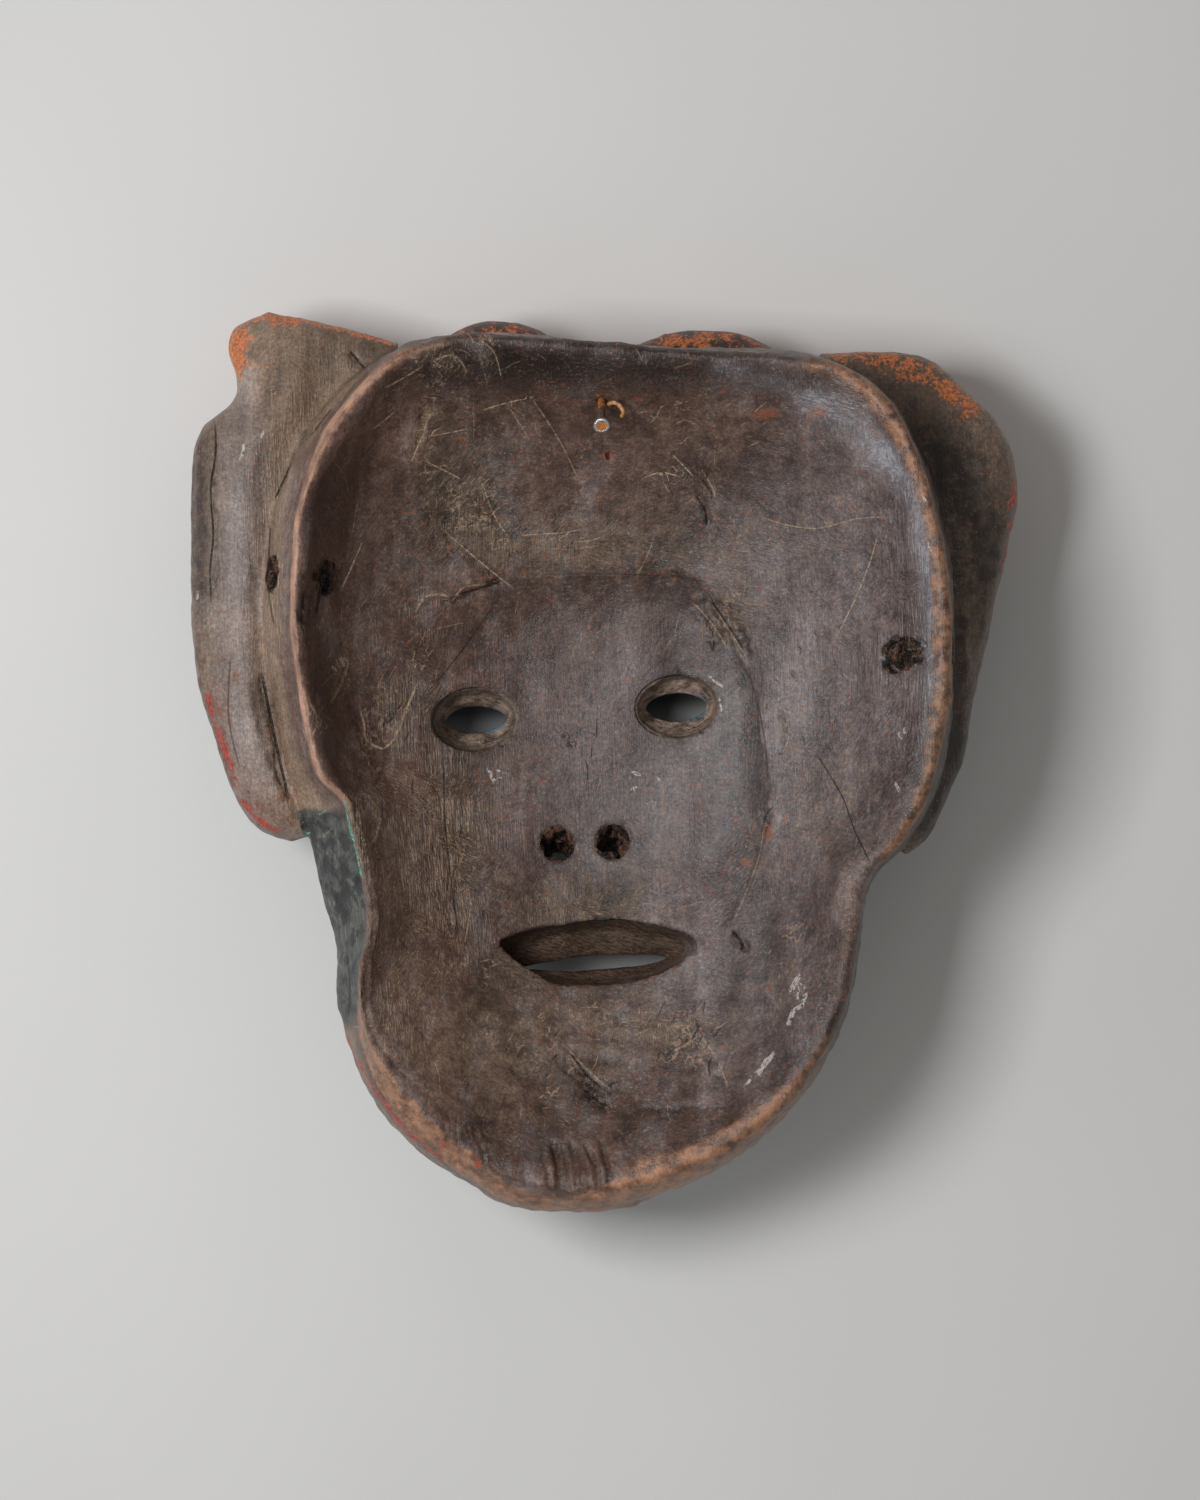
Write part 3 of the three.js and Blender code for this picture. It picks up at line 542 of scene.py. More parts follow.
def curl_solid(index, x, y, z, across, along, front, back):
    """A ball of hair, longer towards the ground. Its spiral groove is cut later."""
    turn = np.linspace(0, 2 * math.pi, CURL_SIDES, endpoint=False)
    rings = []
    for tilt in np.linspace(0, math.pi, CURL_TILTS)[1:-1]:
        radius, rise = math.sin(tilt), math.cos(tilt)
        depth = back if rise > 0 else front
        level = np.full(CURL_SIDES, z + depth * rise)
        ring = [x + across * radius * np.cos(turn), y + along * radius * np.sin(turn), level]
        rings.append(np.stack(ring, axis=1))
    points, faces = skin((x, y, z + back), rings, (x, y, z - front))
    return new_solid(f"curl_{index}", points, faces)


SLIT_SIDES = 120


def lens_ring(across, up, half_length, half_height, z, pointed):
    """One level outline of a slit, an oval that is drawn out to points at its ends."""
    turn = np.linspace(0, 2 * math.pi, SLIT_SIDES, endpoint=False)
    rise = np.sign(np.sin(turn)) * np.abs(np.sin(turn)) ** pointed
    x, y = from_face(across + half_length * np.cos(turn), up + half_height * rise)
    return np.stack([x, y, np.full(SLIT_SIDES, z)], axis=1)


# A slit's cut by height: 0 is its narrow shape at the face, 1 its wide ring in the hollow.
SLIT_STAGES = [(45, 1.12), (32.5, 1.0), (27, 0.78), (22, 0), (-5, 0)]
SLIT_STEPS = 12
SLIT_BEVEL_CURVE = 1.4
SLIT_POINT = 1.25


def slit_cutter(name, across, up, narrow, wide, rise):
    """The cut of a slit: narrow at the face, opening to a bevelled ring in the hollow."""
    rings = []
    for (top, grow), (bottom, next_grow) in zip(SLIT_STAGES, SLIT_STAGES[1:]):
        for step in range(SLIT_STEPS):
            share = step / SLIT_STEPS
            z, widen = lerp(top, bottom, share), lerp(grow, next_grow, share)
            opened = min(1, widen) ** SLIT_BEVEL_CURVE
            half_length = lerp(narrow[0], wide[0], opened) / 2 * max(1, widen)
            half_height = lerp(narrow[1], wide[1], opened) / 2 * max(1, widen)
            shape = lerp(SLIT_POINT, 1.0, min(1, widen))
            rings.append(lens_ring(across, up + rise * min(1, widen), half_length, half_height, z, shape))
    rings.append(lens_ring(across, up, narrow[0] / 2, narrow[1] / 2, SLIT_STAGES[-1][0], SLIT_POINT))
    points, faces = skin(rings[0].mean(axis=0), rings, rings[-1].mean(axis=0))
    return new_solid(name, points, faces)


DRILL_SIDES, DRILL_STEP = 40, 0.9


def drill_cutter(name, start, end, start_width, end_width, rough=0.0, seed=0):
    """A drilled or burnt hole, rough where its fibres tore."""
    start, end = np.array(start, float), np.array(end, float)
    axis = end - start
    length = np.linalg.norm(axis)
    axis /= length
    side = np.cross(axis, (0.3, 0.9, 0.2))
    side /= np.linalg.norm(side)
    other = np.cross(side, axis)
    turn = np.linspace(0, 2 * math.pi, DRILL_SIDES, endpoint=False)
    draw = np.random.default_rng(seed)
    ripples = [(draw.integers(2, 7), draw.uniform(0.1, 0.5), draw.uniform(0, 6.28)) for _ in range(6)]
    steps = max(2, int(length / DRILL_STEP))
    rings = []
    for share in np.linspace(0, 1, steps + 1):
        wobble = sum(np.sin(n * turn + p + k * length * share) for n, k, p in ripples) / 4
        radius = lerp(start_width, end_width, share) / 2 * (1 + rough * wobble)
        middle = start + axis * length * share
        circle = np.outer(np.cos(turn), side) + np.outer(np.sin(turn), other)
        rings.append(middle + radius[:, None] * circle)
    points, faces = skin(rings[0].mean(axis=0), rings, rings[-1].mean(axis=0))
    return new_solid(name, points, faces)


EYE_NARROW, EYE_WIDE = (19.5, 8.5), (25.0, 18.5)
MOUTH_NARROW, MOUTH_WIDE, MOUTH_RISE = (50.0, 5.0), (61.0, 19.0), 4.0
LEFT_CORD_HOLE = ((-78, 52, 70), (-105, 54.2, 66.4))
RIGHT_CORD_HOLE = ((84, 28.5, 74), (116, 30, 68.5))
LEFT_CORD_WIDTH, RIGHT_CORD_WIDTH = 9.5, 11
NOSTRIL_BACK_WIDTH, NOSTRIL_FRONT_WIDTH, NOSTRIL_ROUGH = 9.6, 6, 0.3
NOSTRIL_TOP, NOSTRIL_END = 38, 4
NAIL_PLACE, NAIL_HOLE_WIDTH, NAIL_HOLE_DEPTH = (0.5, 106.5), 2.7, 8.3
NAIL_LEAN = math.radians(33)
WIRE_PLACE, WIRE_HOLE_WIDTH, WIRE_HOLE_DEPTH = (2.9, 105.4), 1.9, 5.3
PIN_PLACE, PIN_END_WIDTH, PIN_MOUTH_WIDTH, PIN_HOLE_DEPTH = (2.5, 91.0), 1.0, 1.5, 4

nail_foot = np.array([*NAIL_PLACE, float(hollow_height(*NAIL_PLACE))])
nail_axis = np.array([0, -math.sin(NAIL_LEAN), math.cos(NAIL_LEAN)])
wire_foot = np.array([*WIRE_PLACE, float(hollow_height(*WIRE_PLACE))])
pin_top = float(hollow_height(*PIN_PLACE))
nostril_backs = [from_face(side * 9, NOSE_BASE + 2) for side in (-1, 1)]
nostril_fronts = [from_face(side * 7, NOSE_BASE - 12) for side in (-1, 1)]

nail_hole = (nail_foot - NAIL_HOLE_DEPTH * nail_axis, nail_foot + 6 * nail_axis)
wire_hole = (wire_foot - (0, 0, WIRE_HOLE_DEPTH), wire_foot + (0, 0, 3))
pin_hole = ((*PIN_PLACE, pin_top - PIN_HOLE_DEPTH), (*PIN_PLACE, pin_top + 2))

cutters = [
    slit_cutter("left_eye_cut", -EYE_SPACING / 2, 0, EYE_NARROW, EYE_WIDE, 0),
    slit_cutter("right_eye_cut", EYE_SPACING / 2, 0, EYE_NARROW, EYE_WIDE, 0),
    slit_cutter("mouth_cut", 0, MOUTH_LINE, MOUTH_NARROW, MOUTH_WIDE, MOUTH_RISE),
    drill_cutter("left_cord_cut", *LEFT_CORD_HOLE, LEFT_CORD_WIDTH, LEFT_CORD_WIDTH, 0.1, 3),
    drill_cutter("right_cord_cut", *RIGHT_CORD_HOLE, RIGHT_CORD_WIDTH, RIGHT_CORD_WIDTH, 0.08, 5),
    drill_cutter("nail_cut", *nail_hole, NAIL_HOLE_WIDTH, NAIL_HOLE_WIDTH),
    drill_cutter("wire_cut", *wire_hole, WIRE_HOLE_WIDTH, WIRE_HOLE_WIDTH),
    drill_cutter("pin_cut", *pin_hole, PIN_END_WIDTH, PIN_MOUTH_WIDTH),
]
for side, (back, front) in enumerate(zip(nostril_backs, nostril_fronts)):
    nostril = ((*back, NOSTRIL_TOP), (*front, NOSTRIL_END))
    widths = (NOSTRIL_BACK_WIDTH, NOSTRIL_FRONT_WIDTH)
    cutters.append(drill_cutter(f"nostril_cut_{side}", *nostril, *widths, NOSTRIL_ROUGH, 11 + side))


def join(name, solids):
    """Several closed skins as the one mesh of a new object."""
    points, faces = [], []
    for solid in solids:
        start = len(points)
        points += [tuple(vertex.co) for vertex in solid.data.vertices]
        faces += [tuple(start + corner for corner in face.vertices) for face in solid.data.polygons]
        bpy.data.objects.remove(solid)
    return new_solid(name, points, faces)


rings = block_rings()
centre_top = (*BOWL_CENTRE, FLOOR_HEIGHT - POCKET_DEPTH)
centre_front = (*BOWL_CENTRE, float(front_height(np.array(BOWL_CENTRE[0]), np.array(BOWL_CENTRE[1]))))
block = new_solid("block", *skin(centre_top, rings, centre_front))
all_cutters = join("all_cutters", cutters)
cut = block.modifiers.new("openings", "BOOLEAN")
cut.operation = "DIFFERENCE"
cut.solver = "MANIFOLD"
cut.object = all_cutters
settle(block)
bpy.data.objects.remove(all_cutters)

lobes = [
    lobe_solid("left_lobe", LEFT_LOBE_EDGE, LEFT_LOBE_ROOT, LEFT_LOBE_BACK),
    lobe_solid("right_lobe", RIGHT_LOBE_EDGE, RIGHT_LOBE_ROOT, RIGHT_LOBE_BACK),
]
curls = [curl_solid(index, *sizes) for index, sizes in enumerate(CURLS)]
mask = join("wall_mask", [block, *lobes, *curls])
VOXEL = 0.8
remesh = mask.modifiers.new("one_skin", "REMESH")
remesh.mode = "VOXEL"
remesh.voxel_size = VOXEL
settle(mask)


def mesh_array(collection, field):
    """A row of three values for each point of a mesh."""
    values = np.empty(len(collection) * 3)
    collection.foreach_get(field, values)
    return values.reshape(-1, 3)


SWELLS = 14
CURVE_STEPS = 5


def waves(place, size, seed):
    """A soft random swell, about -1 to 1, whose humps are about the given size in millimetres."""
    draw = np.random.default_rng(seed)
    total = np.zeros(len(place))
    for _ in range(SWELLS):
        way = draw.normal(size=3)
        way *= 2 * math.pi / np.linalg.norm(way) / (2 * np.asarray(size)) * draw.uniform(0.6, 1.5)
        total += np.sin(place @ way + draw.uniform(0, 2 * math.pi))
    return total / math.sqrt(SWELLS)


def line_distance(x, y, points):
    """Distance to a drawn line, how far along it from 0 to 1, and its side, above 0 on the left."""
    nearest, along, side = np.full(len(x), 1e9), np.zeros(len(x)), np.zeros(len(x))
    lengths = [math.dist(a, b) for a, b in zip(points, points[1:])]
    done = 0.0
    for (ax, ay), (bx, by), length in zip(points, points[1:], lengths):
        share = np.clip(((x - ax) * (bx - ax) + (y - ay) * (by - ay)) / length**2, 0, 1)
        gap = np.hypot(x - ax - share * (bx - ax), y - ay - share * (by - ay))
        closer = gap < nearest
        nearest = np.where(closer, gap, nearest)
        along = np.where(closer, (done + share * length) / sum(lengths), along)
        side = np.where(closer, np.sign((bx - ax) * (y - ay) - (by - ay) * (x - ax)), side)
        done += length
    return nearest, along, side


def curve(points):
    """Short straight pieces along a soft line through a few points."""
    if len(points) < 3:
        return points
    places = np.linspace(0, 1, (len(points) - 1) * CURVE_STEPS + 1)
    return [tuple(point) for point in spline(points, places)]


def beside(x, y, points, margin):
    """The numbers of the places near a drawn line."""
    left, low = np.min(points, axis=0) - margin
    right, high = np.max(points, axis=0) + margin
    return np.flatnonzero((x > left) & (x < right) & (y > low) & (y < high))


def groove(x, y, width, points):
    """1 along a drawn line, fading to its sides and its ends."""
    share = np.zeros(len(x))
    near = beside(x, y, points, 3 * width)
    gap, along, _ = line_distance(x[near], y[near], points)
    share[near] = bell(gap / width) * smooth(0, 0.12, along) * (1 - smooth(0.88, 1, along))
    return share


def ledge(x, y, points, sharpness, fade):
    """1 just inside a carved edge, on the right of its line, and 0 outside it and far inside."""
    share = np.zeros(len(x))
    near = beside(x, y, points, 4 * fade)
    gap, along, side = line_distance(x[near], y[near], curve(points))
    ends = smooth(0, 0.12, along) * (1 - smooth(0.85, 1, along))
    share[near] = ends * smooth(-sharpness, sharpness, -gap * side) * np.exp(-gap / fade)
    return share


def patch(x, y, middle, half, tilt=0.0):
    """1 in the middle of an oval place, falling to 0.37 at its edge."""
    cos, sin = math.cos(math.radians(tilt)), math.sin(math.radians(tilt))
    across, up = x - middle[0], y - middle[1]
    return bell(np.hypot((across * cos + up * sin) / half[0], (up * cos - across * sin) / half[1]))


# Cuts and tears of the knife: the width and depth of each, and the line it follows. A negative
# depth stands proud.
GOUGES = [
    (1.6, 1.3, [(31, 47), (36, 39), (43, 31)]),
    (1.3, 1.0, [(34.5, 46.5), (40, 39), (46, 30)]),
    (0.8, -0.7, [(33, 46), (38, 38.5), (44, 30.5)]),
    (0.8, -0.6, [(29, 45), (33, 39), (38, 33)]),
    (1.2, 1.1, [(38, 44), (43, 37), (47, 28)]),
    (2.5, 0.7, [(28, 51), (33, 45), (37, 37)]),
    (0.7, 0.45, [(70, -6.8), (74.5, -15.3), (77.5, -24.8), (82, -35)]),
    (0.8, 1.6, [(-119, 101), (-119.6, 80), (-119, 60), (-119.5, 43)]),
    (0.9, 1.5, [(-104, 25), (-100, 5), (-95, -17)]),
    (1.6, 0.6, [(-107, 22), (-103, 5), (-97, -14)]),
    (0.9, 1.1, [(-77, 123), (-72, 117)]),
    (0.8, 1.0, [(-81.4, 104.4), (-88.4, 95.8)]),
    (0.8, 1.0, [(-95, 87.5), (-99.8, 76.8)]),
    (0.9, 0.8, [(-100, 75), (-101, 55), (-99, 36)]),
    (1.4, 0.8, [(-49, 68.5), (-38, 58), (-28, 50.5)]),
    (0.7, -0.7, [(-57, 43), (-54, 47.5), (-48, 48), (-46, 46), (-42, 51), (-32.5, 51.5)]),
    (1.6, 1.3, [(-54, 47), (-44, 47), (-37, 50), (-30, 52)]),
    (1.5, 1.7, [(41, -56), (44, -60), (43, -62)]),
    (1.2, 1.6, [(50, -18), (52, -24)]),
    (1.0, -0.6, [(51, -16), (54, -20), (53, -26)]),
    (1.5, 1.7, [(-5, -104), (-1, -107), (3, -109)]),
    (1.2, 1.2, [(-11, -93), (-6, -99), (0, -104)]),
    (0.8, -0.6, [(-9, -92), (-4, -98), (2, -103)]),
    (1.0, 0.9, [(-14, -93), (-9, -99), (-4, -103)]),
    (1.2, 0.8, [(28, -87), (34, -95), (38, -102)]),
    (1.0, 0.7, [(23, -83), (26, -88), (25, -92)]),
    (1.6, 0.9, [(8, -106), (20, -110), (34, -108)]),
    (1.0, 0.9, [(31, 86.5), (35, 80), (34, 77)]),
    (1.0, 0.9, [(29.5, 78.5), (32.5, 74), (33, 69)]),
    (0.9, 0.6, [(22, 91), (27, 86)]),
    (1.0, -0.5, [(-78, 3), (-72, -1), (-66, 1), (-61, 13)]),
    (1.2, -0.7, [(-81, 27), (-78, 28), (-80, 21), (-85, 14)]),
    (1.2, -0.6, [(-88, 9), (-86, 2), (-87, -2)]),
    (1.5, 0.9, [(-73, -12), (-70, -22), (-72, -30)]),
    (0.8, -0.6, [(-73, -14), (-68, -20), (-70, -28)]),
    (1.0, 0.8, [(56, 13), (58, 5), (55, -2)]),
    (0.8, -0.6, [(57.5, 14), (59.5, 6), (57, 0)]),
    (1.3, 1.4, [(-87.5, 48), (-88.5, 42), (-89, 37)]),
    (1.2, 0.9, [(-52, 115), (-46, 119), (-40, 118)]),
    (0.8, -0.6, [(-50, 114), (-44, 117), (-40, 113)]),
    (1.2, 0.8, [(-38, 124), (-33, 120), (-29, 114)]),
    (1.2, 0.9, [(-53, 104), (-55, 97), (-59, 89)]),
    (0.8, -0.5, [(-51, 104), (-53, 97), (-57, 89)]),
    (0.9, 0.5, [(-22, 109), (-13, 96), (-6, 82)]),
    (1.3, 0.5, [(-6, -88), (6, -84), (20, -86)]),
    (1.0, 0.5, [(-24, -86), (-12, -91), (-2, -96)]),
    (2.2, 1.8, [(-84.8, 54.5), (-84, 52), (-84.4, 50)]),
    (0.9, 1.2, [(-85.5, 50), (-86.5, 45), (-87, 40)]),
    (0.9, 1.8, [(2.2, 92), (2.4, 90.4), (2.3, 88.8)]),
    (3.6, 2.4, [(-83.6, 55), (-83.2, 52.5), (-83.8, 50)]),
    (4.6, 3.2, [(92.5, 32), (93.8, 29.5), (92.8, 27)]),
]
# The carved edge of the shallow pocket behind the face, and how deep it steps down. Then come
# the long crack of the left lobe and the tear down the left cheek.
FACE_POCKET_EDGE = [
    (-51, 20.5), (-33.6, 44.2), (-29.5, 51.9), (-12, 53.2), (6, 54.2), (28, 52.6), (33, 46.5), (42, 31),
    (47.3, 18.7), (50.6, 3), (51.8, -12.4), (51, -25), (46.7, -37.3), (40, -53), (32, -66),
]
FACE_POCKET_STEP = 1.2
POCKET_EDGE_SHARPNESS, POCKET_EDGE_FADE = 0.9, 13
LEFT_LOBE_CRACK_EDGE = [(-117.5, 45), (-118.2, 60), (-118.4, 80), (-117.6, 101)]
CHEEK_TEAR = [(-79, -11), (-74, -16), (-74.5, -27), (-73, -36), (-75, -42)]
# Two fans of gouge strokes where the bowl was cut down to its lowest rim.
CHIN_CUTS = [
    dict(count=11, left=-16.0, right=5.0, top=-119.5, bottom=-133.5, lean=3.2, width=0.62, depth=1.5),
    dict(count=8, left=-49.0, right=-32.0, top=-113.0, bottom=-127.0, lean=2.0, width=0.7, depth=0.7),
]


def hollow_relief(place):
    """How far the hollow's surface is carved below its plain bowl, in millimetres."""
    x, y = place[:, 0], place[:, 1]
    edge_x, edge_y = x + 0.6 * waves(place, 5, 21), y + 0.6 * waves(place, 6, 20)
    step = ledge(edge_x, edge_y, FACE_POCKET_EDGE, POCKET_EDGE_SHARPNESS, POCKET_EDGE_FADE)
    step *= (0.5 + 0.5 * smooth(20, 35, x)) * FACE_POCKET_STEP
    flutes = 0.26 * waves(place * (1, 0.25, 0.3), 6, 22) + 0.35 * waves(place * (1, 0.5, 0.6), 15, 23)
    torn = 0.35 + 1.3 * np.maximum(patch(x, y, (-46, -27), (17, 33), -6), patch(x, y, (0, -52), (34, 10)))
    fibres = 0.1 * torn * waves(place * (1, 0.1, 0.2), 1.7, 24)
    chopped = 0.14 * waves(place * (0.5, 1, 0.4), 2.4, 26) * patch(x, y, (0, 61), (45, 9))
    chin = 0.3 * waves(place, 4.5, 27) * patch(x, y, (0, -98), (55, 24))
    return step + flutes + fibres + chopped + chin


def chin_cuts(x, y):
    """The depth of the gouge strokes that stand side by side along the low rim."""
    cuts = np.zeros(len(x))
    draw = np.random.default_rng(25)
    for cuts_here in CHIN_CUTS:
        count = cuts_here["count"]
        for cut in range(count):
            start = lerp(cuts_here["left"], cuts_here["right"], (cut + draw.uniform(0, 0.6)) / count)
            top = cuts_here["top"] + draw.uniform(-2, 2)
            bottom = cuts_here["bottom"] + draw.uniform(-1, 2)
            lean = cuts_here["lean"] * draw.uniform(0.4, 1.1)
            line = [(start - lean, top), (start, (top + bottom) / 2), (start + 0.4 * lean, bottom)]
            depth = cuts_here["depth"] * draw.uniform(0.6, 1.2)
            cuts += depth * groove(x, y, cuts_here["width"] * draw.uniform(0.8, 1.3), line)
    return cuts


# Wood left standing up the left cheek, in a band at a share of the way out to the lip, and the
# spiral groove of the curls with the step from one turn to the next.
CHEEK_FILL, CHEEK_FILL_MIDDLE, CHEEK_FILL_HALF = 3.4, 0.82, 0.17
CURL_GROOVE, CURL_GROOVE_PITCH = 1.1, 9.5


def mask_relief(place, normal, share, outside):
    """How far each point is carved in below the plain solid, along its own normal."""
    x, y, z = place.T
    angle = np.arctan2(y - BOWL_CENTRE[1], x - BOWL_CENTRE[0])
    back = smooth(0.05, 0.35, normal[:, 2])
    # Hand-carved unevenness all over, then the hollow with its cuts and its fuller left cheek.
    relief = 0.28 * waves(place, 24, 1) + 0.18 * waves(place, 9, 2) + 0.08 * waves(place, 3, 3)
    relief += back * (1 - smooth(0.98, 1.05, share)) * hollow_relief(place)
    relief += back * chin_cuts(x, y)
    fill = bell((share - CHEEK_FILL_MIDDLE) / CHEEK_FILL_HALF) * (share < 1)
    relief -= back * CHEEK_FILL * left_cheek(angle) * fill
    broken = 0.75 + 0.5 * waves(place, 2.2, 28)
    wander_x, wander_y = 0.5 * waves(place, 3.5, 29), 0.5 * waves(place, 3.5, 30)
    for width, depth, line in GOUGES:
        relief += back * broken * depth * groove(x + wander_x, y + wander_y, width, curve(line))
    # Fibres and the long crack of the lobes, and the ledge of the torn strip.
    lobe = back * smooth(1.5, 4, outside) * (1 - smooth(66, 72, z))
    relief += lobe * 0.13 * waves(place * (1, 0.08, 0.3), 1.8, 31)
    relief += lobe * 0.3 * waves(place * (1, 0.3, 0.5), 8, 32)
    relief += lobe * 1.2 * ledge(x + 0.4 * waves(place, 6, 36), y, LEFT_LOBE_CRACK_EDGE[::-1], 0.5, 9)
    relief += back * (outside < 3) * 0.9 * ledge(x, y, CHEEK_TEAR[::-1], 0.5, 6) * smooth(70, 76, z)
    # Unevenness down the flank and on the worn rim, and the spirals of the curls.
    flank = (1 - back) * smooth(0, 2, outside) * smooth(50, 56, z)
    relief += flank * (0.35 * waves(place * (0.5, 0.5, 1), 5, 33) + 0.2 * waves(place, 3, 34))
    lip = back * smooth(0.97, 1.02, share) * (1 - smooth(1, 2.5, outside)) * smooth(74, 78, z)
    relief += lip * (0.22 * waves(place, 6, 35) + 0.1 * waves(place, 2.6, 36))
    for cx, cy, *_ in CURLS:
        turn, out = np.arctan2(y - cy, x - cx), np.hypot(x - cx, y - cy)
        ball = smooth(-0.1, -0.4, normal[:, 2]) * (out < 34) * (y > 78)
        wind = np.cos(turn * (1 if cx < 0 else -1) + out * 2 * math.pi / CURL_GROOVE_PITCH)
        spiral = smooth(0.55, 0.95, wind) * smooth(2, 6, out) * (1 - smooth(22, 27, out))
        relief += CURL_GROOVE * ball * spiral
    return relief


place = mesh_array(mask.data.vertices, "co")
normal = mesh_array(mask.data.vertex_normals, "vector")


def place_facts(place):
    """Where each point lies: its angle, its share of the way out to the lip, how far it is outside
    the rim, and how high the rim is there."""
    across, up = place[:, 0] - BOWL_CENTRE[0], place[:, 1] - BOWL_CENTRE[1]
    angle, radius = np.arctan2(up, across), np.hypot(across, up)
    rim_radius, rim_height = read_loop(RIM_TABLE, angle)
    return angle, radius / reach_at(angle), radius - rim_radius, rim_height


def hole_share(place, holes, inner, outer):
    """1 within the inner distance of any hole's middle line, given by its ends, and 0 past the outer."""
    total = np.zeros(len(place))
    for hole_start, hole_end in holes:
        start, way = np.array(hole_start), np.array(hole_end) - np.array(hole_start)
        along = np.clip((place - start) @ way / (way @ way), 0, 1)
        gap = np.linalg.norm(place - start - along[:, None] * way, axis=1)
        total = np.maximum(total, 1 - smooth(inner, outer, gap))
    return total


CORD_HOLES = (LEFT_CORD_HOLE, RIGHT_CORD_HOLE)
NOSTRILS = [
    ((*back, NOSTRIL_TOP), (*front, NOSTRIL_END)) for back, front in zip(nostril_backs, nostril_fronts)
]
angle, share, outside, rim_height = place_facts(place)
# Inside the cord holes and the nostrils the wood is only rough, with none of the other relief.
in_cord_hole = hole_share(place, CORD_HOLES, 5.5, 6.5)
in_nostril = hole_share(place, NOSTRILS, 4.6, 5.6)
relief = mask_relief(place, normal, share, outside) * (1 - np.maximum(in_cord_hole, in_nostril))
relief += np.maximum(0.4 * in_cord_hole, 0.8 * in_nostril) * waves(place, 2.2, 41)
place -= normal * relief[:, None]
place[:, 2] = np.maximum(place[:, 2], 0)
mask.data.vertices.foreach_set("co", place.ravel())
mask.data.update()

MASK_FACES = 195000
thin = mask.modifiers.new("fewer_faces", "DECIMATE")
thin.ratio = MASK_FACES / sum(len(face.vertices) - 2 for face in mask.data.polygons)
settle(mask)

# Where paint, wear and dirt lie on the mask, each as a share from 0 to 1 at every point.
place = mesh_array(mask.data.vertices, "co")
normal = mesh_array(mask.data.vertex_normals, "vector")
angle, share, outside, rim_height = place_facts(place)
x, y, z = place.T
turn = np.degrees(angle) % 360
back = smooth(0.0, 0.3, normal[:, 2])
front = 1 - smooth(-0.5, -0.1, normal[:, 2])
lip_place = (outside + lip_width(angle)) / lip_width(angle)
high = smooth(-9, -5, z - rim_height)


def around(*stops):
    """A share that changes round the rim, given at angles in degrees from the right."""
    angles, values = zip(*stops)
    return np.interp(turn, angles, values, period=360)


def patches(*places):
    """Oval places, each as middle, half size, tilt and strength, joined into one share."""
    clear = np.ones(len(x))
    for middle, half, tilt, strength in places:
        clear *= 1 - np.clip(strength * patch(x, y, middle, half, tilt), 0, 1)
    return 1 - clear


def streaks(*lines):
    """Drawn lines, each as width, strength and points, joined into one share."""
    clear = np.ones(len(x))
    for width, strength, points in lines:
        clear *= 1 - strength * groove(x, y, width, curve(points))
    return 1 - clear


def slit_place(across, up, half_length, half_height):
    """How far out from the middle of a slit each point is, 1 at the edge of its bevel."""
    face_across, face_up = onto_face(x, y)
    return np.hypot((face_across - across) / half_length, (face_up - up) / half_height)


zones = {}
hollow = back * (1 - smooth(0.98, 1.08, share))
lobe = back * smooth(1.0, 3.0, outside) * (1 - smooth(68, 76, z))

# The rim is rubbed to bare wood: how strongly, from where on its width, how many millimetres
# past its outer edge, and how far down the flank, all changing with the way round.
rim_strength = around(
    (0, 0.85), (52, 0.85), (60, 0.6), (72, 0.15), (108, 0.1), (116, 0.55), (126, 0.85), (182, 0.88),
    (188, 0.7), (194, 0.3), (215, 0.25), (226, 0.8), (250, 1.0), (288, 1.0), (296, 0.75), (308, 0.5),
    (318, 0.2), (334, 0.2), (342, 0.75),
)
rim_start = around(
    (0, 0.3), (20, 0.2), (60, 0.25), (100, 0.6), (115, 0.35), (140, 0.5), (185, 0.55), (225, 0.6),
    (236, 0.55), (250, 0.65), (256, 1.0), (266, 1.0), (274, 0.2), (288, 0.3), (300, 0.6), (335, 0.7),
)
rim_end = around(
    (0, 2.5), (60, 2.5), (100, 1), (130, 0.7), (190, 0.7), (222, 1), (234, 4), (252, 5), (270, 8),
    (325, 8), (345, 3),
)
rim_drop = around((0, 8), (200, 5), (222, 6), (234, 16), (325, 16), (345, 8))
wear = smooth(rim_start - 0.3, rim_start + 0.3, lip_place) * (1 - smooth(rim_end, rim_end + 0.8, outside))
wear *= smooth(-rim_drop - 9, -rim_drop + 4, z - rim_height) * smooth(-0.3, 0.1, normal[:, 2])
zones["rim_wear"] = rim_strength * wear
zones["rim_warm"] = around(
    (0, 1.2), (60, 1.2), (110, 0.5), (145, 0.2), (200, 0.1), (222, 0.5), (235, 0.8), (300, 0.8), (330, 1.1),
)
outline_strength = around((0, 0.6), (90, 0.4), (110, 0.9), (185, 0.9), (195, 0), (340, 0), (350, 0.6))
zones["rim_outline"] = smooth(0.7, 1.5, outside) * (1 - smooth(2.5, 4, outside)) * outline_strength * high
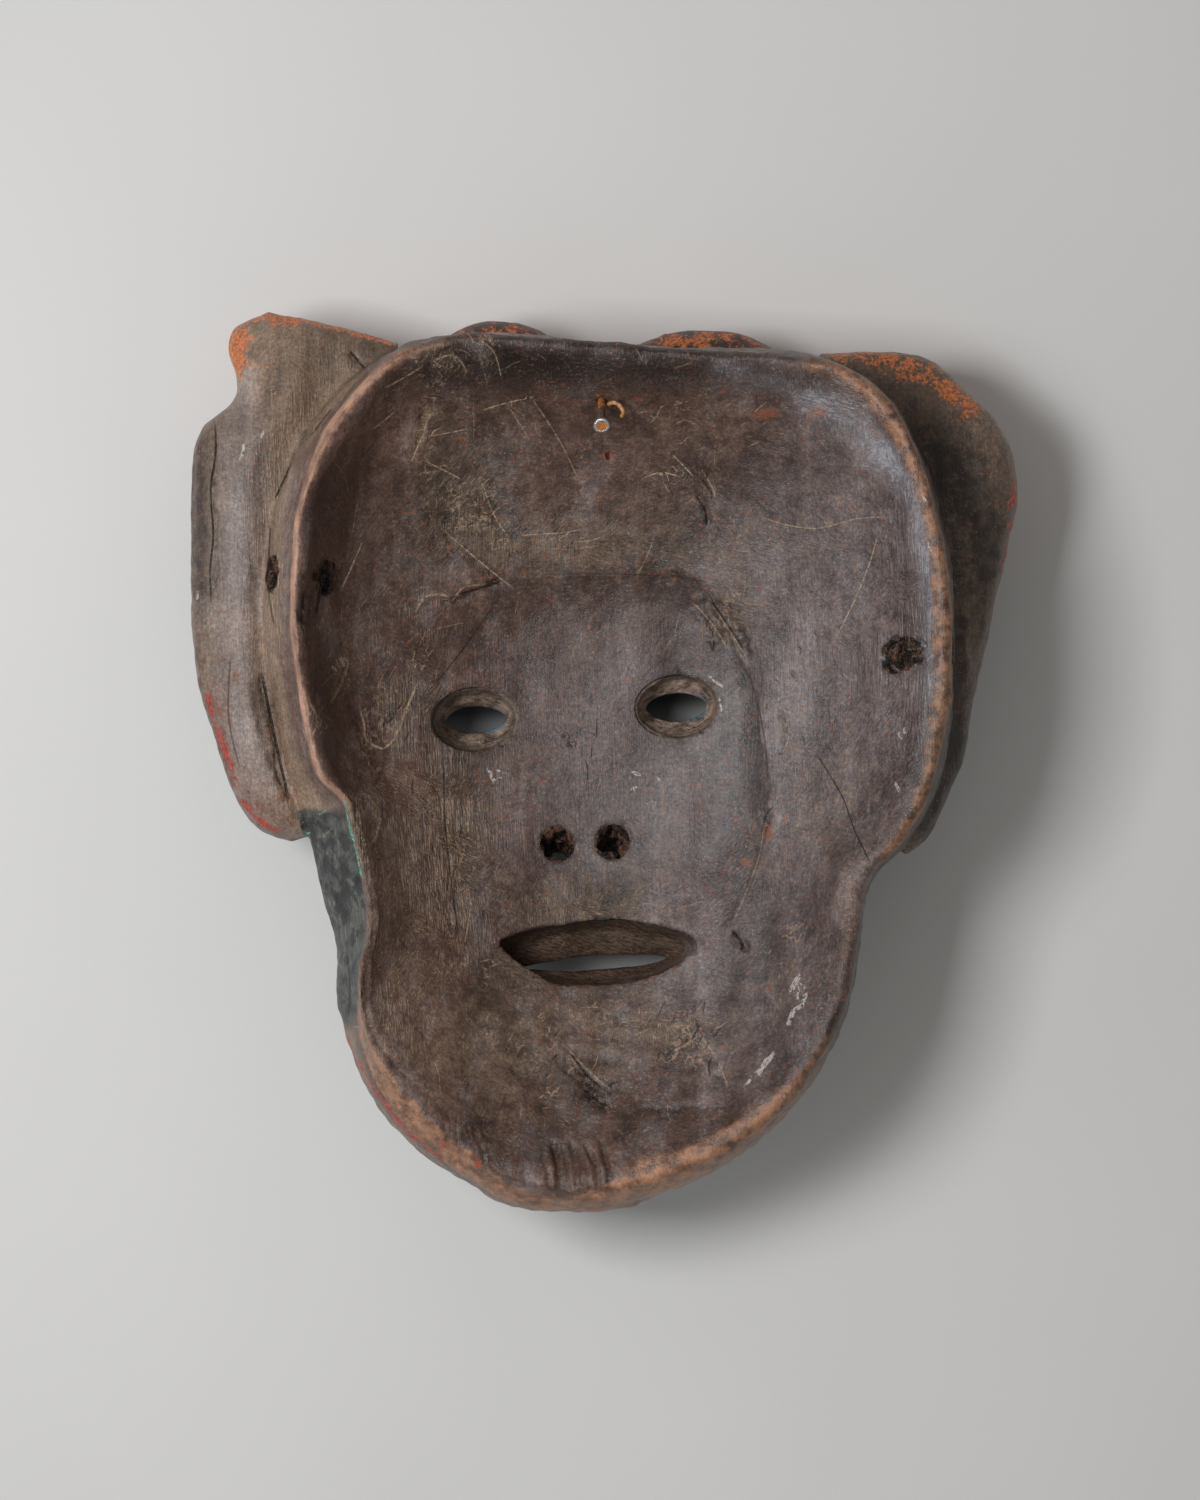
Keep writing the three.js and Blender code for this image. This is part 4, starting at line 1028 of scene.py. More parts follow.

# What lies where in the hollow and on the lobes: greyer places, partly a painted sheen; greenish
# places; dark places, partly stains and partly painted shade; scuffed and frayed places; a pale
# strip on the left lobe, partly a painted highlight on its ridge; and the orange, red and slate
# paint that shows from the far side.
zones["hollow"] = hollow
zones["lobe"] = lobe
zones["greyer_and_painted_sheen"] = hollow * patches(
    ((52, -5), (46, 62), 0, 1), ((8, -18), (38, 42), 0, 0.75), ((45, -75), (32, 35), 0, 0.7),
    ((70, 65), (26, 45), 0, 0.6), ((5, 20), (35, 20), 0, 0.4),
)
zones["olive"] = hollow * patches(
    ((0, 62), (52, 10), 0, 0.7), ((-40, 74), (14, 14), 0, 0.7), ((-30, -88), (40, 28), 0, 0.7),
    ((-12, -50), (12, 9), 0, 0.5), ((8, -47), (12, 9), 0, 0.5), ((30, 105), (26, 14), 0, 0.35),
    ((-48, 92), (16, 14), 0, 0.5), ((70, -20), (14, 20), 0, 0.4),
)
# Dark places: partly stains, as on the left wall, and partly painted shade, on the right lobe in the shadow
# of the rim and along the top of the hollow under the rim.
zones["stain_and_painted_shade"] = np.maximum(
    hollow * patches(
        ((-87, 20), (7, 40), 0, 0.45), ((-80, 78), (8, 22), -20, 0.4), ((0, 117), (78, 8), 0, 0.85),
        ((-17, -119), (17, 9), 0, 0.5), ((80, -58), (4, 20), 0, 0.5), ((64, -92), (12, 30), -25, 0.35),
        ((-74, 58), (12, 22), 0, 0.25), ((60, 108), (22, 5), -20, 0.3), ((-30, 98), (14, 8), 20, 0.2),
        ((20, -112), (20, 6), 0, 0.4), ((-4, -104), (9, 6), -40, 0.5), ((52, -60), (8, 10), 0, 0.3),
    ),
    lobe * patches(
        ((104, 25), (9, 60), 0, 1), ((-123.5, 62), (4, 42), 0, 0.65), ((100, 90), (9, 14), 30, 0.7),
        ((112, 88), (14, 20), 0, 0.45),
        ((-121, -2), (7, 26), 20, 0.5), ((120, 60), (10, 40), 0, 0.55), ((97, 60), (5, 45), 5, 0.9),
        ((112, -8), (14, 24), 0, 0.8), ((-100, 113), (4, 10), -20, 0.6), ((-90, 96), (3, 9), -30, 0.4),
        ((-118, 112), (4, 6), 0, 0.5),
    ),
)
zones["scuffed"] = back * patches(
    ((-46, -27), (13, 32), -6, 1), ((-71, -22), (6, 12), 0, 1), ((-62, 14), (9, 12), 20, 0.7),
    ((-79, 24), (3, 9), 0, 0.8), ((-41, 74), (13, 15), 0, 0.5), ((-47, 118), (7, 4), -20, 0.9),
    ((-34.5, 121), (4, 5), 0, 0.8), ((-54, 98), (3.5, 9), -25, 0.8), ((14, -86), (22, 8), 0, 0.6),
    ((56, -72), (10, 8), 30, 0.4), ((-12, -48), (10, 7), 0, 0.6), ((6, -47), (10, 7), 0, 0.45),
    ((-58, -84), (12, 16), 0, 0.45), ((0, 63), (35, 4), 0, 0.35), ((39, 40), (8, 9), -50, 0.8),
    ((-99, 62), (5, 42), 0, 0.9), ((-80, 115), (12, 7), 40, 0.35), ((-54, 46), (10, 4), 20, 0.7),
    ((25, 83), (18, 10), 0, 0.3), ((-84, -38), (4, 4), 0, 0.9), ((-58, -50), (9, 14), 0, 0.5),
    ((48, -30), (4, 14), 0, 0.45), ((-28, -114), (18, 7), 10, 0.3), ((-26, 100), (12, 10), 30, 0.3),
    ((-86, 100), (5, 16), 40, 0.4), ((57, 7), (4, 9), 0, 0.4), ((-63, -25), (9, 20), 0, 0.9),
    ((-66, -60), (7, 24), 0, 0.6), ((-76, 40), (8, 20), 0, 0.3),
)
zones["fibrous"] = hollow * patches(
    ((-46, -25), (17, 34), -6, 1), ((70, 30), (26, 55), 0, 0.4), ((-72, -20), (8, 18), 0, 0.8),
    ((-60, 20), (14, 22), 0, 0.5), ((0, -50), (40, 10), 0, 0.4), ((0, 118), (60, 6), 0, 0.7),
    ((95, 20), (10, 60), 0, 0.8), ((74, 105), (20, 10), -35, 0.8), ((-40, 73), (12, 9), 0, 0.6),
    ((0, 62), (38, 6), 0, 0.6),
) + 0.18 * lobe
zones["pale_lobe_and_ridge_highlight"] = lobe * (x < 0) * patches(
    ((-111, 62), (7, 48), 0, 1), ((-109, 8), (6, 26), 12, 0.6), ((-108, 108), (4, 12), 10, 0.5),
)
zones["redwood"] = lobe * (x < 0) * patches(
    ((-124, 70), (3, 34), 0, 0.9), ((-118, 4), (7, 30), 20, 0.8), ((-100, -18), (12, 9), 0, 0.6),
    ((-114, 24), (5, 14), 10, 0.5),
)
zones["orange"] = (1 - hollow) * np.maximum(
    streaks(
        (5.5, 0.85, [(-118, 119), (-113, 134), (-100, 136), (-90, 133)]),
        (3.2, 0.9, [(-100, 136), (-84, 133), (-70, 129), (-60, 126)]),
        (3, 0.3, [(-106, 128), (-101, 115), (-97, 104)]),
        (6, 0.62, [(64, 125), (84, 122), (100, 116), (112, 108), (120, 100)]),
        (3, 0.4, [(126, 95), (128, 80), (125, 62)]),
    ),
    patches(((-32, 129), (20, 5), 0, 0.6), ((31, 127), (26, 5), 0, 0.6), ((-113, 124), (6, 11), 0, 0.9)),
)
zones["red"] = streaks(
    (1.4, 0.5, [(-123.5, 26), (-118.5, 8), (-112.5, -8), (-104, -21), (-90, -28)]),
    (0.9, 0.95, [(-121, 18), (-117, 4), (-112, -6)]), (0.8, 0.9, [(-112, -14), (-106, -21), (-98, -26)]),
    (1.1, 0.75, [(-79.5, -80), (-76, -92), (-70, -101), (-58, -116), (-44, -127)]),
    (1.2, 0.8, [(-48, -117), (-47, -121)]), (1.6, 0.8, [(-38, -121), (-36, -127)]),
    (2.0, 0.6, [(126, 92), (128, 74), (124, 50), (120, 35)]),
) * (1 - hollow * (y > -110)) * smooth(55, 62, z + 20 * (y > -40))
zones["rust_spot"] = hollow * patches(
    ((50, 102), (5, 2.4), 0, 1), ((66, 102.5), (4, 2.2), 0, 1), ((2.4, 90.4), (2.4, 2.4), 0, 0.9),
    ((12, 107), (4.5, 0.8), 0, 1), ((85, 70), (2, 2), 0, 0.7), ((45, -35), (1.6, 2.6), 0, 0.9),
    ((20, -17), (1.4, 2), 0, 0.7), ((52, -25), (2, 3.4), 0, 1), ((-38, 90), (3, 2.4), 0, 0.5),
    ((56, 90), (8, 5), 0, 0.45), ((30, 12), (3, 6), 0, 0.4), ((88, 40), (4, 14), 0, 0.4),
)
beyond_foot = np.hypot(x - BOWL_CENTRE[0], y - BOWL_CENTRE[1]) - read_loop(FOOT_TABLE, angle)[0]
below_lobe = smooth(0.3, 1.4, outside) * smooth(46, 54, z) * (1 - smooth(-20, -13, y))
below_lobe *= 1 - smooth(0.5, 2.5, beyond_foot)
low_flank = (1 - back) * smooth(-2, 0, outside) * (1 - smooth(60, 66, z))
slate_strength = around(
    (0, 0.45), (180, 0.5), (186, 1), (193, 1.2), (220, 1.2), (228, 0.3), (296, 0.3), (318, 0.6), (332, 0.6),
    (352, 0.45),
)
zones["slate"] = np.maximum(below_lobe * (1 - smooth(-32, -14, y) * 0.45), low_flank) * slate_strength
crown = np.zeros(len(x))
for cx, cy, *_ in CURLS:
    crown = np.maximum(crown, 1 - smooth(27, 30, np.hypot(x - cx, y - cy)))
hair_behind_rim = (1 - smooth(60, 68, np.abs(x))) * smooth(-0.5, 1, beyond_foot + 1)
zones["hair"] = crown * smooth(0.5, 1.5, outside) * hair_behind_rim
zones["front"] = front
# The painted features of the far side follow the same studio rules as its relief.
face_across, face_up = onto_face(x, y)
from_mouth = face_up - MOUTH_LINE
upper_lip = bell((from_mouth - 6.5) / 6) * bell(face_across / 26)
lower_lip = bell((from_mouth + 7.5) / 7) * bell(face_across / 22)
zones["lips"] = front * smooth(0.4, 0.6, np.maximum(upper_lip, lower_lip)) * (1 - crown)
lid = np.hypot((np.abs(face_across) - EYE_SPACING / 2) / 15, face_up / 9)
zones["lids"] = front * (1 - smooth(0.95, 1.1, lid)) * smooth(-0.2, -0.6, normal[:, 2])
arch = (np.abs(face_across) - 27) / 30
zones["brows"] = front * bell((face_up - 18 + 9 * arch * arch) / 4) * (1 - smooth(0.7, 0.9, np.abs(arch)))
ball = crown * smooth(-0.4, 1.5, 62 - z) * (y > 70)
zones["painted_hair"] = np.maximum(front * smooth(HAIRLINE + 1, HAIRLINE + 4, face_up), ball) * (1 - back)

eye_ring = np.minimum(
    slit_place(-EYE_SPACING / 2, 0, EYE_WIDE[0] / 2, EYE_WIDE[1] / 2),
    slit_place(EYE_SPACING / 2, 0, EYE_WIDE[0] / 2, EYE_WIDE[1] / 2),
)
mouth_ring = slit_place(0, MOUTH_LINE + MOUTH_RISE, MOUTH_WIDE[0] / 2, MOUTH_WIDE[1] / 2)
# The colours of the bevels start 12 to 16 mm above the ground, so that none show on the face.
in_hollow = smooth(12, 16, z)
zones["eye_ring"] = in_hollow * (1 - smooth(1.0, 1.12, eye_ring)) * (share < 0.8)
zones["eye_edge"] = in_hollow * bell((eye_ring - 1.07) / 0.09) * (share < 0.8)
zones["recess"] = in_hollow * (1 - smooth(0.92, 1.04, mouth_ring))
# Torn wood in the cord holes and nostrils, with painted shade: the torn colours run down to near-black, and
# two patches at the mouths of the cord holes in the hollow are painted dark as the holes' shade.
SHADED_HOLE_MOUTHS = [((93.6, 29.2, 68), (93.6, 29.2, 78)), ((-83.6, 52.6, 67), (-83.6, 52.6, 75))]
torn_cord_holes = hole_share(place, CORD_HOLES, 5.2, 6.4) * (outside < 12)
torn_nostrils = hole_share(place, NOSTRILS, 4.8, 6.2) * (z > 6)
shaded_hole_mouths = hollow * hole_share(place, SHADED_HOLE_MOUTHS, 4.4, 6.4)
zones["torn"] = np.maximum(np.maximum(torn_cord_holes, torn_nostrils), shaded_hole_mouths)
rim_run = np.column_stack([np.cos(angle), np.sin(angle), np.clip(lip_place, -3, 5)])
# Polished places: glossier, with a coat, and also painted with a pale veil of sheen where the right of the
# hollow catches the light.
zones["polish_and_painted_sheen"] = hollow * patches(
    ((90, 50), (10, 48), 0, 1), ((74, 108), (20, 7), -35, 1), ((96, 15), (8, 40), 0, 0.8),
    ((20, 114), (40, 5), 0, 0.6), ((60, 30), (30, 60), 0, 0.35), ((-36, 121), (8, 5), 0, 0.8),
)
# Painted light and shade: a share that lightens the wood and the rim on the left wall, the left cheek, the
# left lobe and the low rim, and darkens them at the right jaw, the right rim and the top of the hollow.
zones["lift"] = back * (
    patches(
        ((-82, 40), (12, 60), 0, 1), ((-92, 28), (6, 60), 0, 0.7), ((-62, -25), (18, 34), 0, 0.85),
        ((-50, -92), (14, 24), 20, 0.6), ((-98, 66), (5, 60), 0, 0.8),
        ((-110, 50), (22, 90), 0, 0.5), ((-76, 100), (14, 16), 40, 0.9), ((-108, 120), (10, 14), 0, 0.7),
        ((38, -26), (14, 20), 0, 0.4), ((60, -5), (14, 20), 0, 0.35), ((0, -130), (40, 7), 0, 0.7),
    ) - patches(
        ((72, -92), (14, 24), -20, 0.7), ((62, -94), (14, 18), 0, 0.45), ((98, -10), (14, 26), 0, 0.7),
        ((0, 121), (80, 6), 0, 1.0), ((103, 50), (4, 60), 0, 0.5),
        ((-55, 60), (12, 20), 0, 0.15),
    )
)
# Painted sheen: pale streaks along the upper and right wall of the hollow, painted where the wall catches the
# light.
painted_sheen = streaks(
    (3.5, 0.5, [(30, 116), (54, 111), (72, 100)]), (5, 0.7, [(60, 109), (76, 98), (88, 84)]),
    (4, 1, [(80, 93), (92, 82), (97, 68), (98.5, 56)]),
    (3.5, 1, [(96, 70), (99, 50), (100, 30), (99.5, 10)]),
    (2.5, 0.6, [(99, 12), (97, -4), (92, -20)]), (2, 0.7, [(-40, 124), (-34, 119)]),
    (2.5, 0.5, [(36, 118), (44, 112)]),
)
zones["painted_sheen"] = hollow * np.clip(painted_sheen, 0, 1)
zones["cut"] = np.clip(mask_relief(place, normal, share, outside), -1.5, 1.5)

# Thin marks are kept as the sideways distance to the nearest one, so the paint can draw them
# much finer than the mesh. Each is a half width, a strength and the line it follows.
PALE_MARKS = [
    (0.28, 0.8, [(-65, 109), (-53, 116)]), (0.25, 0.9, [(-36, 104), (-27, 106.5), (-19, 108)]),
    (0.22, 0.8, [(-52, 96), (-40, 98.5)]), (0.3, 0.6, [(-69, 97), (-62, 103)]),
    (0.3, 0.9, [(-73, 64), (-76, 57), (-80, 48)]), (0.22, 0.5, [(-28.5, 106), (-21.5, 95)]),
    (0.25, 0.9, [(-54.5, 89), (-48, 86), (-42, 83)]), (0.3, 0.9, [(-36, 81), (-33, 73), (-28.5, 66)]),
    (0.25, 0.6, [(-47.5, 68.5), (-34.5, 70)]), (0.25, 0.9, [(-24.5, 66.5), (-8.5, 67.5)]),
    (0.35, 0.7, [(-49, 68.5), (-38, 59), (-26, 49.5)]),
    (0.42, 0.7, [(-57, 43), (-54, 47.5), (-48, 48), (-46.5, 45.5)]),
    (0.3, 0.5, [(-46, 46), (-42, 50.5), (-34, 51.5)]), (0.28, 0.8, [(13.5, 84), (19, 85.5), (25, 84)]),
    (0.22, 0.6, [(18.5, 84), (22, 78.5)]), (0.3, 0.8, [(22, 91), (27, 86), (29, 84)]),
    (0.28, 0.6, [(31, 86.5), (35, 80), (35, 77)]), (0.24, 0.6, [(11.5, 54.5), (15, 61), (17, 67.5)]),
    (0.24, 0.75, [(49, 72), (58, 69), (67.5, 68), (78.5, 70.5), (88, 70.5)]),
    (0.26, 0.9, [(84.5, 66), (82.5, 58), (78, 46), (71.5, 32.5)]),
    (0.35, 0.6, [(36, 44), (41, 36), (46, 28)]), (0.3, 0.7, [(29, 46), (35, 39), (40, 31)]),
    (0.5, 1.0, [(-73, 4), (-70, 1.5), (-66.5, 0.7), (-63, 5), (-59.5, 14), (-56, 22)]),
    (0.4, 1.0, [(-74, 12), (-72.5, 7), (-73, 3)]),
    (0.4, 0.9, [(-80.5, 28), (-77.5, 27), (-79.5, 20), (-82, 14)]),
    (0.45, 0.9, [(-87, 14), (-85, 9), (-86.5, 4)]), (0.4, 0.9, [(-71.5, -13), (-67, -20), (-69.5, -30)]),
    (0.25, 0.8, [(57, 13), (58.5, 5), (56, -2)]), (0.3, 0.6, [(26, -84), (28, -89), (22, -93)]),
    (0.3, 0.7, [(-10, -92), (-3, -99), (3, -104)]), (0.3, 0.6, [(31, -88), (36, -95), (39, -103)]),
    (0.3, 0.7, [(-52, 103), (-54, 97), (-58, 88)]), (0.35, 0.8, [(-52, 117), (-44, 119), (-40, 114)]),
    (0.3, 0.8, [(-37, 124), (-32, 120), (-30, 113)]), (0.25, 0.5, [(-22, 109), (-13, 96), (-6, 82)]),
    (0.25, 0.5, [(50.5, -21), (50, -30), (46, -42), (41, -54)]),
]
DARK_MARKS = [
    (0.55, 1.0, [(-84.4, 51), (-85.2, 46), (-86, 41)]),
    (0.3, 0.8, [(-48.5, -2), (-48, -20), (-46, -40), (-43, -60)]),
    (0.7, 1.0, [(2.3, 91.5), (2.4, 90.4), (2.3, 89.3)]), (0.5, 0.6, [(-7, 91.6), (-7.4, 89.6)]),
    (0.2, 0.8, [(66, 0), (70, -6.8), (74.5, -15.3), (77.5, -24.8), (82, -36)]),
    (0.45, 1.0, [(-104, 25), (-100, 5), (-95, -17)]),
    (0.35, 1.0, [(-118.8, 103), (-118.2, 92), (-119.7, 80), (-118.9, 66), (-119.9, 55), (-119.2, 43)]),
    (0.35, 0.9, [(-77, 123), (-72, 117)]), (0.3, 0.9, [(-81.4, 104.4), (-88.4, 95.8)]),
    (0.3, 0.9, [(-95, 87.5), (-99.8, 76.8)]), (0.25, 0.5, [(-51, 20.5), (-42, 32), (-33.6, 44)]),
    (0.4, 0.8, [(-44, 48), (-38, 50), (-30, 52.5)]), (0.25, 0.3, [(-19, 54.3), (0, 54.6), (19, 54)]),
    (0.4, 0.9, [(34, 47), (39, 40), (45, 31)]), (0.3, 0.7, [(31, 84), (34.5, 79), (34, 77)]),
    (0.35, 0.8, [(29.5, 78.5), (32.5, 74), (33, 69)]), (0.5, 0.9, [(41, -56), (44, -60), (43, -62)]),
    (0.4, 0.9, [(-5, -104), (0, -108), (3, -109)]), (0.4, 0.8, [(-9, -93), (-4, -100), (1, -104)]),
    (0.3, 0.6, [(54, -17), (51.5, -20), (50, -26)]), (0.4, 0.9, [(-77, -62), (-76, -72), (-76.5, -82)]),
    (0.4, 0.8, [(-89, 47), (-89.5, 40), (-89, 34)]), (0.35, 0.8, [(-101, 70), (-101.5, 52), (-99, 36)]),
    (0.3, 0.6, [(-113, 30), (-114, 10), (-110, -8)]), (0.3, 0.5, [(48, 18), (51, 3), (52, -12)]),
]
WHITE_MARKS = [
    (0.68, 0.9, [(-79.8, 28.5), (-78.4, 25.5)]), (0.54, 0.7, [(-82, 25.5), (-80.5, 24.2)]),
    (0.68, 0.9, [(-34.6, -6.5), (-33.4, -9.5)]), (0.48, 0.7, [(-33, -6), (-30, -7)]),
    (0.75, 1, [(10, -7), (12.6, -7.8)]), (0.68, 0.9, [(17, -8.4), (18.8, -9.6)]),
    (0.48, 0.8, [(9.3, -12), (11, -12.8)]), (0.95, 1, [(60.5, -68.5), (58, -73.5)]),
    (0.75, 1, [(62.6, -73.5), (60.8, -78.5)]), (0.88, 0.9, [(59, -78.5), (57, -83.5)]),
    (0.95, 0.95, [(51, -93.5), (47.6, -98.5)]), (0.61, 0.8, [(52.8, -91.6), (50.8, -95)]),
    (0.54, 0.7, [(46.5, -98.6), (44.4, -101.6)]), (0.48, 1, [(107.5, 52.2), (107.5, 50.2)]),
    (0.41, 0.9, [(97.2, 75.8), (98.1, 73.8)]), (0.41, 0.9, [(98.4, 61.4), (99.1, 59.5)]),
    (0.61, 0.8, [(88.9, -9.6), (90.2, -12.8)]), (0.48, 0.8, [(93.4, 7.4), (94.1, 5.4)]),
    (0.54, 0.7, [(90.2, 5.9), (90.7, 3.4)]), (0.48, 0.8, [(-102.9, 97.4), (-104.1, 95.3)]),
    (0.7, 0.45, [(-109, 94), (-109.8, 89)]), (0.5, 0.6, [(-111.4, 77), (-111.8, 74)]),
    (0.48, 0.8, [(-124, 48.2), (-124, 46)]), (0.61, 0.7, [(34, 23), (38.5, 19.5)]),
    (0.41, 0.6, [(37.2, 16.6), (38, 12)]),
]
GREEN_MARKS = [
    (0.5, 1, [(-77.4, -14), (-76.6, -18), (-75, -24.5), (-73.4, -31), (-72.6, -36), (-71.8, -40)]),
    (0.35, 0.9, [(-76.5, -20), (-75.4, -25), (-74.4, -28)]), (0.4, 0.8, [(-90.5, -26), (-88, -25)]),
    (0.35, 0.7, [(-86, -20), (-83, -18)]), (0.5, 0.8, [(81, -42), (83, -38)]),
    (0.35, 0.6, [(-84, -52), (-82, -54)]), (0.3, 0.8, [(-38, 10), (-33, 12.5)]),
]


def mark_layer(name, marks):
    """Keeps, at every point, how far aside the nearest mark is in half widths, and its strength."""
    nearest = np.full(len(x), 1e9)
    across, strength = np.zeros(len(x)), np.zeros(len(x))
    for width, amount, points in marks:
        near = beside(x, y, points, 4)
        gap, along, side = line_distance(x[near], y[near], curve(points))
        closer = gap < nearest[near]
        near, gap, along, side = near[closer], gap[closer], along[closer], side[closer]
        nearest[near] = gap
        across[near] = np.clip(gap * side / width, -9, 9)
        ends = smooth(0, 0.1, along) * (1 - smooth(0.85, 1, along))
        strength[near] = amount * ends * (1 - smooth(1.6, 2.6, gap))
    zones[name + "_across"] = across
    zones[name + "_strength"] = strength * smooth(-0.2, 0.3, normal[:, 2])


def chance_marks(seed, count):
    """Stray scratches from years of handling, most of them short and upright."""
    draw = np.random.default_rng(seed)
    marks = []
    while len(marks) < count:
        start = draw.uniform((-95, -125), (100, 120))
        way = math.radians(draw.normal(90, 38))
        length = 2 + draw.exponential(3.5)
        bend = draw.normal(0, 0.12)
        middle = start + length / 2 * np.array([math.cos(way), math.sin(way)])
        end = start + length * np.array([math.cos(way + bend), math.sin(way + bend)])
        line = [tuple(start), tuple(middle), tuple(end)]
        marks.append((draw.uniform(0.12, 0.22), draw.uniform(0.2, 0.7), line))
    return marks


def stroke_patches(seed, places):
    """Short strokes in loose patches, each as middle, half size, direction, count and length."""
    draw = np.random.default_rng(seed)
    marks = []
    for middle, half, degrees, count, length in places:
        for _ in range(count):
            start = np.array(middle) + draw.uniform(-1, 1, 2) * half
            way = math.radians(degrees + draw.normal(0, 15))
            bend = draw.normal(0, 0.3)
            long = length * draw.uniform(0.4, 1.3)
            turn_point = start + long / 2 * np.array([math.cos(way), math.sin(way)])
            end = turn_point + long / 2 * np.array([math.cos(way + bend), math.sin(way + bend)])
            line = [tuple(start), tuple(turn_point), tuple(end)]
            marks.append((draw.uniform(0.14, 0.34), draw.uniform(0.5, 1), line))
    return marks


LIGHT_STROKES = [
    ((-50, 113), (5, 4), 140, 14, 4.5), ((-35, 120), (4, 4), 120, 12, 5), ((-53, 100), (2, 8), 20, 14, 3),
    ((-52, 86), (7, 3), 160, 14, 2.5), ((-40, 74), (8, 7), 42, 34, 4), ((-22, 64), (14, 3), 4, 14, 8),
    ((-72, -6), (3, 7), 80, 16, 5), ((-64, 12), (6, 8), 60, 20, 4), ((-71, -24), (3, 8), 84, 22, 4),
    ((-66, -44), (3, 6), 70, 12, 3), ((-54, -35), (5, 22), 92, 34, 7), ((-45, -42), (3.5, 24), 95, 30, 14),
    ((-60, -44), (3, 8), 75, 20, 4), ((-69, 11), (4, 9), 70, 24, 3.5), ((-86, 8), (2, 6), 75, 14, 4),
    ((-56, 30), (6, 8), 70, 14, 3), ((-84, 36), (2, 10), 80, 10, 3), ((-42, -70), (12, 5), 20, 16, 4),
    ((-30, -92), (14, 10), 40, 26, 3), ((8, -84), (20, 6), 10, 30, 5), ((26, -90), (9, 8), 50, 34, 5),
    ((-8, -104), (12, 6), 45, 18, 4), ((56, -60), (6, 6), 45, 12, 3), ((40, 38), (3, 8), 120, 16, 4),
    ((12, -50), (20, 3), 20, 12, 3), ((60, 60), (20, 14), 100, 22, 2.5), ((34, 100), (24, 8), 30, 20, 3),
]
DARK_STROKES = [
    ((-50, 111), (5, 4), 140, 8, 4), ((-41, 73), (8, 7), 42, 12, 3), ((-72, -8), (3, 8), 80, 10, 4),
    ((-65, 10), (6, 8), 60, 12, 3), ((-70, -28), (4, 8), 84, 12, 4), ((-50, -36), (8, 24), 93, 24, 6),
    ((-28, -94), (14, 10), 40, 14, 3), ((26, -90), (12, 10), 60, 14, 5), ((-6, -4), (5, 8), 115, 7, 6),
    ((38, 38), (3, 8), 120, 10, 4), ((-2, -106), (8, 4), 45, 8, 4), ((64, 20), (22, 24), 96, 16, 3),
]


def slit_arc(across, half_length, half_height, start, end):
    """A line round an eye slit, from one angle to another."""
    turns = np.radians(np.linspace(start, end, 9))
    return [from_face(across + half_length * math.cos(t), half_height * math.sin(t)) for t in turns]


# Short cracks in the bevel of each eye slit, as a strength and a line from the slit's middle.
EYE_RING_CRACKS = [
    (0.7, ((2.5, -5.4), (6, -6.6), (7.2, -9), (9.5, -8.4))), (0.6, ((-9.5, -2), (-10.6, -4.6), (-8.8, -7))),
]
BLUE_MARKS = []
for side in (-1, 1):
    middle = side * EYE_SPACING / 2
    DARK_MARKS.append((0.3, 0.9, slit_arc(middle, 13, 9.8, 75, 250)))
    DARK_MARKS.append((0.22, 0.8, slit_arc(middle, 11.4, 7.6, 275, 335)))
    for strength, crack in EYE_RING_CRACKS:
        DARK_MARKS.append((0.2, strength, [from_face(middle + across, up) for across, up in crack]))
    PALE_MARKS.append((0.35, 0.5, slit_arc(middle, 12.4, 9, 255, 330)))
    BLUE_MARKS.append((0.5, 0.9, slit_arc(middle, 9.9, 4.5, 285, 350)))
    BLUE_MARKS.append((0.35, 0.6, slit_arc(middle, 9.9, 4.5, 15, 50)))
mark_layer("blue", BLUE_MARKS)
mark_layer("pale", PALE_MARKS)
mark_layer("darkline", DARK_MARKS)
mark_layer("white", WHITE_MARKS)
mark_layer("green", GREEN_MARKS)
mark_layer("stray_a", chance_marks(51, 90) + stroke_patches(54, LIGHT_STROKES[::2]))
mark_layer("stray_b", chance_marks(52, 90) + stroke_patches(55, LIGHT_STROKES[1::2]))
mark_layer("nicks", stroke_patches(56, DARK_STROKES))

# The finish: old carved wood, brown and greasy from hands and skin, greyer in places, with what is
# left of the paint and with painted light, shade and sheen. It reads the zones and marks kept above
# and breaks their edges up with grain.
wood, tree = new_material("old_carved_wood", linear(92, 79, 72))


def zone(name):
    """A share that was kept on the mesh."""
    return add_node(tree, "Attribute", attribute_type="GEOMETRY", attribute_name=name).outputs["Fac"]


def calc(kind, first, second=0.0, third=0.0, clamp=False):
    values = {0: first, 1: second, 2: third}
    return add_node(tree, "Math", values, operation=kind, use_clamp=clamp).outputs[0]


def times(first, *others):
    """Several shares multiplied together."""
    for other in others:
        first = calc("MULTIPLY", first, other)
    return first


def blend(share_here, under, over):
    """One colour laid over another with the given share."""
    values = {0: share_here, 6: under, 7: over}
    for socket in (6, 7):
        if isinstance(values[socket], tuple):
            values[socket] = (*values[socket][:3], 1)
    return add_node(tree, "Mix", values, data_type="RGBA", clamp_factor=True).outputs[2]


def ramp(value, low, high, to_low=0.0, to_high=1.0):
    """A soft step between two values of something."""
    values = {"Value": value, "From Min": low, "From Max": high, "To Min": to_low, "To Max": to_high}
    return add_node(tree, "MapRange", values, interpolation_type="SMOOTHSTEP").outputs[0]


def scaled(colour, amount):
    return add_node(tree, "VectorMath", {0: colour, "Scale": amount}, operation="SCALE").outputs[0]


def stretched(place_here, scale):
    return add_node(tree, "VectorMath", {0: place_here, 1: scale}, operation="MULTIPLY").outputs[0]


